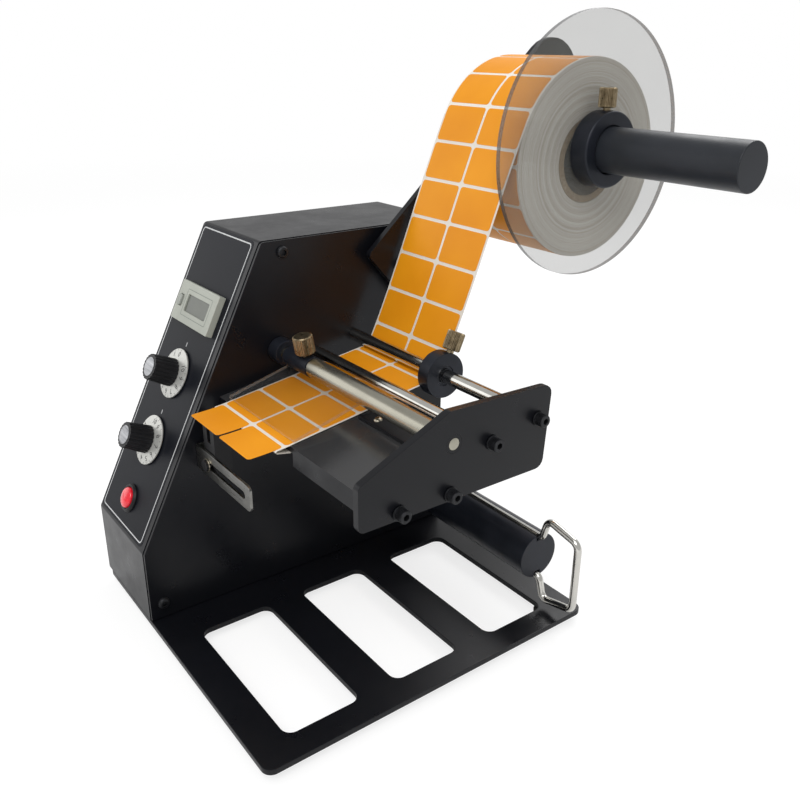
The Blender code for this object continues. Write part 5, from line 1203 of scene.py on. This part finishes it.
# Label web: die-cut orange labels, two across, on a waxed liner. It leaves the roll, runs under both
# rods and along the platform, peels there and goes back round the feed roller.
LANDING_Y = 0.0970
LEAVE_ROD = math.radians(63.0)
MEET_ROLL = math.radians(65.3)
WEB_PULL = 0.046
TONGUE = 0.0078
TONGUE_TURN = 0.0009
TIP_REACH = 0.0232
TIP_DROP = 0.0018
LINER_TAIL = 0.0220
LINER_SHEET = 0.00014
LABEL_SHEET = 0.00014
LABEL_PITCH = 0.0228
LABEL_GAP = 0.0019
LABEL_MIDDLE_GAP = 0.0019
LABEL_MARGIN = 0.0013
LABEL_CORNER = 0.0019
FIRST_GAP = -0.0022
WEB_STEP = 0.0012
PLATFORM_SHEET = 0.003
CURL_PULL = 0.010
RISE_STEPS = 48
FREE_STEPS = 24
DECK_STEPS = 6
ROLL_STEPS = 240

orange_label = clouded(
    "orange_label",
    (224, 141, 12),
    (234, 153, 20),
    (0.42, 0.12),
    (22.0, 3.0),
    (1500.0, 4.0, 0.6),
    0.00001,
    by_grain=True,
    Specular_IOR_Level=0.25,
)
waxed_liner = clouded(
    "waxed_liner",
    (216, 209, 198),
    (228, 222, 212),
    (0.36, 0.14),
    (26.0, 3.0),
    (1300.0, 4.0, 0.6),
    0.00001,
    by_grain=True,
)


def heading(turn):
    return Vector((math.cos(turn), math.sin(turn)))


def swing(middle, radius, start, stop, steps=14):
    """Points round a middle from one angle to another."""
    return [middle + radius * heading(start + (stop - start) * step / steps) for step in range(steps + 1)]


def deck(y):
    """The platform's height at a depth."""
    return peel.y + (y - peel.x) * math.tan(PLATFORM_SLOPE)


def measured(points, start):
    """Each point of a line with its length along it and the way up from it."""
    spots = []
    for index, point in enumerate(points):
        before, after = points[max(index - 1, 0)], points[min(index + 1, len(points) - 1)]
        run = (after - before).normalized()
        start += (point - before).length
        spots.append((start, point, Vector((-run.y, run.x))))
    return spots


def onto(form, spots, left):
    """Bends a flat form on a line: its X goes across the web, its Y along the line and its Z up."""
    for vertex in form.verts:
        along = min(max(vertex.co.y, spots[0][0]), spots[-1][0])
        index = next(step for step in range(1, len(spots)) if spots[step][0] >= along - WELD)
        before, after = spots[index - 1], spots[index]
        share = (along - before[0]) / (after[0] - before[0])
        point = before[1].lerp(after[1], share)
        up = before[2].lerp(after[2], share).normalized()
        vertex.co = (left + vertex.co.x, *(point + up * vertex.co.z))


rear, middle, feed, hub = (centre(node).yz for node in ("rear_rod", "middle_rod", "feed_roller", "label_roll"))
wrap = rod_radius + WEB_RISE
peel = Vector((datum.y + PEEL_Y, datum.z + PEEL_Z))
lift = WEB_RISE / math.cos(PLATFORM_SLOPE)
nose = Vector((peel.x - WEB_RISE, deck(peel.x - WEB_RISE) + lift))
landing = Vector((datum.y + LANDING_Y, deck(datum.y + LANDING_Y) + lift))
rod_slope = math.atan2(rear.y - middle.y, rear.x - middle.x)
leave = rear + wrap * heading(LEAVE_ROD - math.pi / 2)
meet = hub + wound * heading(MEET_ROLL + math.pi / 2)
low, high = leave + WEB_PULL * heading(LEAVE_ROD), meet - WEB_PULL * heading(MEET_ROLL)
rise = [bezier([leave, low, high, meet], step / RISE_STEPS) for step in range(1, RISE_STEPS + 1)]
top = [nose.lerp(landing, step / DECK_STEPS) for step in range(DECK_STEPS + 1)]
top += [middle + wrap * heading(rod_slope - math.pi / 2)]
top += swing(rear, wrap, rod_slope - math.pi / 2, LEAVE_ROD - math.pi / 2) + rise
tip = Vector((peel.x - TIP_REACH, nose.y - TIP_DROP))
curl = nose - CURL_PULL * heading(PLATFORM_SLOPE)
free = [bezier([nose, curl, tip], step / FREE_STEPS) for step in range(FREE_STEPS, 0, -1)]
free_length = sum((after - before).length for before, after in zip(free, [*free[1:], nose]))
web = measured(free + top, -free_length)
web_end = web[-1][0]

tongue = [spot for spot in web if spot[0] > -TONGUE]
fold = tongue[0][1] - TONGUE_TURN * tongue[0][2]
lean = math.atan2(tongue[0][2].y, tongue[0][2].x)
under = Vector((nose.x, deck(nose.x) - (PLATFORM_SHEET + WEB_RISE) / math.cos(PLATFORM_SLOPE)))
feed_wrap = feed_radius + WEB_RISE
reach = feed - under
touch = math.atan2(reach.y, reach.x) + math.asin(feed_wrap / reach.length) + math.pi / 2
back = swing(feed, feed_wrap, 0, touch)
turn_back = swing(fold, TONGUE_TURN, lean + math.pi, lean)[:-1]
back = [back[0] - Vector((0, LINER_TAIL)), *back, under, *turn_back]
liner = measured([*back, *(spot[1] for spot in tongue)], 0.0)
form = cut_sheet([0, web_width], [spot[0] for spot in liner])
raise_faces(form, form.faces[:], (0, 0, -LINER_SHEET))
onto(form, liner, web_left)
finish_piece("web_liner", form, waxed_liner, "machine", "liner_paper", "label_strip", weighted=False)

label_width = (web_width - 2 * LABEL_MARGIN - LABEL_MIDDLE_GAP) / 2


def add_labels(sheet, line, low, high, floor=-1.0, ceiling=1.0e3):
    """Adds two labels side by side between two lengths along a line, cut off at a floor and a ceiling."""
    pair = bmesh.new()
    for side in (LABEL_MARGIN, LABEL_MARGIN + label_width + LABEL_MIDDLE_GAP):
        label = rounded_sheet(label_width, high - low, LABEL_CORNER, 0, 5)
        bmesh.ops.translate(label, verts=label.verts, vec=(side + label_width / 2, (low + high) / 2, 0))
        for step in range(1, round((high - low) / WEB_STEP)):
            slice_form(label, (0, low + step * WEB_STEP, 0), (0, 1, 0))
        for limit, way in ((floor, -1), (ceiling, 1)):
            if low < limit < high:
                slice_form(label, (0, limit, 0), (0, way, 0), clear_outer=True)
        join(pair, label)
    raise_faces(pair, pair.faces[:], (0, 0, LABEL_SHEET))
    onto(pair, line, web_left)
    join(sheet, pair)


web_labels, roll_labels = bmesh.new(), bmesh.new()
roll_step = math.tau / ROLL_STEPS
round_turns = [MEET_ROLL + math.pi / 2 - step * roll_step for step in range(-3, ROLL_STEPS + 1)]
roll_line = measured([hub + wound * heading(turn) for turn in round_turns], web_end - 3 * wound * roll_step)
row = FIRST_GAP - LABEL_PITCH
last_row = web_end + math.tau * wound - LABEL_PITCH
while row < last_row:
    low, high = row + LABEL_GAP / 2, row + LABEL_PITCH - LABEL_GAP / 2
    if low < web_end:
        add_labels(web_labels, web, max(low, web[0][0]), high, ceiling=web_end)
    if high > web_end:
        add_labels(roll_labels, roll_line, low, high, floor=web_end)
    row += LABEL_PITCH
finish_piece("web_labels", web_labels, orange_label, "machine", "orange_label", weighted=False)
finish_piece("roll_labels", roll_labels, orange_label, "label_supply", "orange_label", weighted=False)


# Cover: a cut acrylic sheet over the web at the peel edge, glued to its hub. Its polished edges are
# painted pale as a painted highlight, and the roll's disc has sawn edges painted dark as painted shade.
COVER_CORNER = 0.0012

# The pale polished edges are a painted highlight, and the dark sawn edges are painted shade.
edges = {}
for name, dark, light, cover in (
    ("polished_edge", (150, 148, 144), (196, 195, 192), 0.3),
    ("sawn_edge", (58, 58, 60), (92, 92, 92), 0.75),
):
    edges[name] = clouded(name, dark, light, (0.25, 0.2), (900.0, 3.0), None, 0.00001, Alpha=cover)


def sawn(piece, across, edge):
    """Gives the narrow faces of a clear sheet a finish of their own: painted light, pale or dark."""
    piece.data.materials.append(edge)
    for face in piece.data.polygons:
        face.material_index = 0 if abs(face.normal.dot(across)) > 0.9 else 1


form = merged("clear_cover")
cover_across = max(form.faces, key=lambda face: face.calc_area()).normal.copy()
round_edges(form, cover_across, COVER_CORNER, 5)
ease(form, DISC_EDGE)
cover_piece = finish_piece("cover_sheet", form, clear["cover_acrylic"], "cover", "clear_acrylic", "clear_cover")
sawn(cover_piece, cover_across, edges["polished_edge"])
sawn(disc_piece, Vector((1, 0, 0)), edges["sawn_edge"])


# Studio: a pale floor that fades into a white surround, with soft lamps above, beside and behind,
# and a camera placed where the photograph was taken from.
FLOOR_HALF = 30.0
CAMERA_SPOT = (0.3646, -0.29775, 0.3276)
CAMERA_TURN = math.radians(53.05)
CAMERA_DROP = math.radians(22.63)
CAMERA_ROLL = math.radians(0.53)
CAMERA_LENS = 38.14
CAMERA_SENSOR = 36.0
NEAR_LIGHT = (0.75, 0.75, 0.75, 1)
WHITE, BLACK = (1, 1, 1, 1), (0, 0, 0, 1)
FADE = (0.7, 2.4)
WORLD_LEVEL = 0.62
LAMP_AIM = Vector((0, 0, 0.15))
LAMP_WIDTH = 0.9

shade, place = new_shade("studio_floor")
floor_cloud = shade.noise(place, 3.0, 2.0)
seen = shade.node("LightPath", output=0)
floor_reach = shade.node("VectorMath", {"operation": "LENGTH"}, {0: place}, 1).between(*FADE)
floor_light = seen.mix(BLACK, floor_reach.mix(NEAR_LIGHT, WHITE))
floor_tone = floor_cloud.mix(tone(236, 236, 236), tone(242, 242, 242))
floor_shown = floor_reach.mix(tone(150, 150, 150), BLACK)
studio_floor = shade.surface(
    seen.mix(floor_tone, floor_shown),
    0.9,
    Specular_IOR_Level=0.0,
    Emission_Color=floor_light,
    Emission_Strength=1.0,
)
form = cut_sheet([-FLOOR_HALF, FLOOR_HALF], [-FLOOR_HALF, FLOOR_HALF])
mesh = bpy.data.meshes.new("studio_floor")
form.to_mesh(mesh)
form.free()
mesh.materials.append(studio_floor)
floor_sheet = bpy.data.objects.new("studio_floor", mesh)
bpy.context.scene.collection.objects.link(floor_sheet)

world = bpy.data.worlds.new("studio")
world.use_nodes = True
world.node_tree.nodes.clear()
shade = Shade(world)
seen = shade.node("LightPath", output="Is Camera Ray")
through = shade.node("LightPath", output="Is Transmission Ray")
shown = shade.maths("MAXIMUM", seen, through)
level = shade.node("MapRange", {}, {"Value": shown, "To Min": WORLD_LEVEL, "To Max": 1.0})
shade.node("OutputWorld", {}, {"Surface": shade.node("Background", {}, {"Color": WHITE, "Strength": level})})
bpy.context.scene.world = world

for name, spot, energy in (
    ("key_lamp", Vector((0.55, -0.75, 1.25)), 10.0),
    ("rear_lamp", Vector((-0.35, 0.95, 1.15)), 9.0),
    ("left_lamp", Vector((-1.1, -0.7, 0.5)), 2.5),
):
    lamp = bpy.data.lights.new(name, "AREA")
    lamp.energy, lamp.size = energy, LAMP_WIDTH
    holder = bpy.data.objects.new(name, lamp)
    holder.location = spot
    holder.rotation_euler = (LAMP_AIM - spot).to_track_quat("-Z", "Y").to_euler()
    bpy.context.scene.collection.objects.link(holder)

lens = bpy.data.cameras.new("camera")
lens.lens, lens.sensor_width, lens.clip_start = CAMERA_LENS, CAMERA_SENSOR, 0.01
camera = bpy.data.objects.new("camera", lens)
flat = math.cos(CAMERA_DROP)
look = Vector((-math.sin(CAMERA_TURN) * flat, math.cos(CAMERA_TURN) * flat, -math.sin(CAMERA_DROP)))
aimed = look.to_track_quat("-Z", "Y").to_matrix().to_4x4()
camera.matrix_world = Matrix.Translation(CAMERA_SPOT) @ aimed @ Matrix.Rotation(CAMERA_ROLL, 4, "Z")
bpy.context.scene.collection.objects.link(camera)
bpy.context.scene.camera = camera
bpy.context.scene.view_settings.view_transform = "Standard"
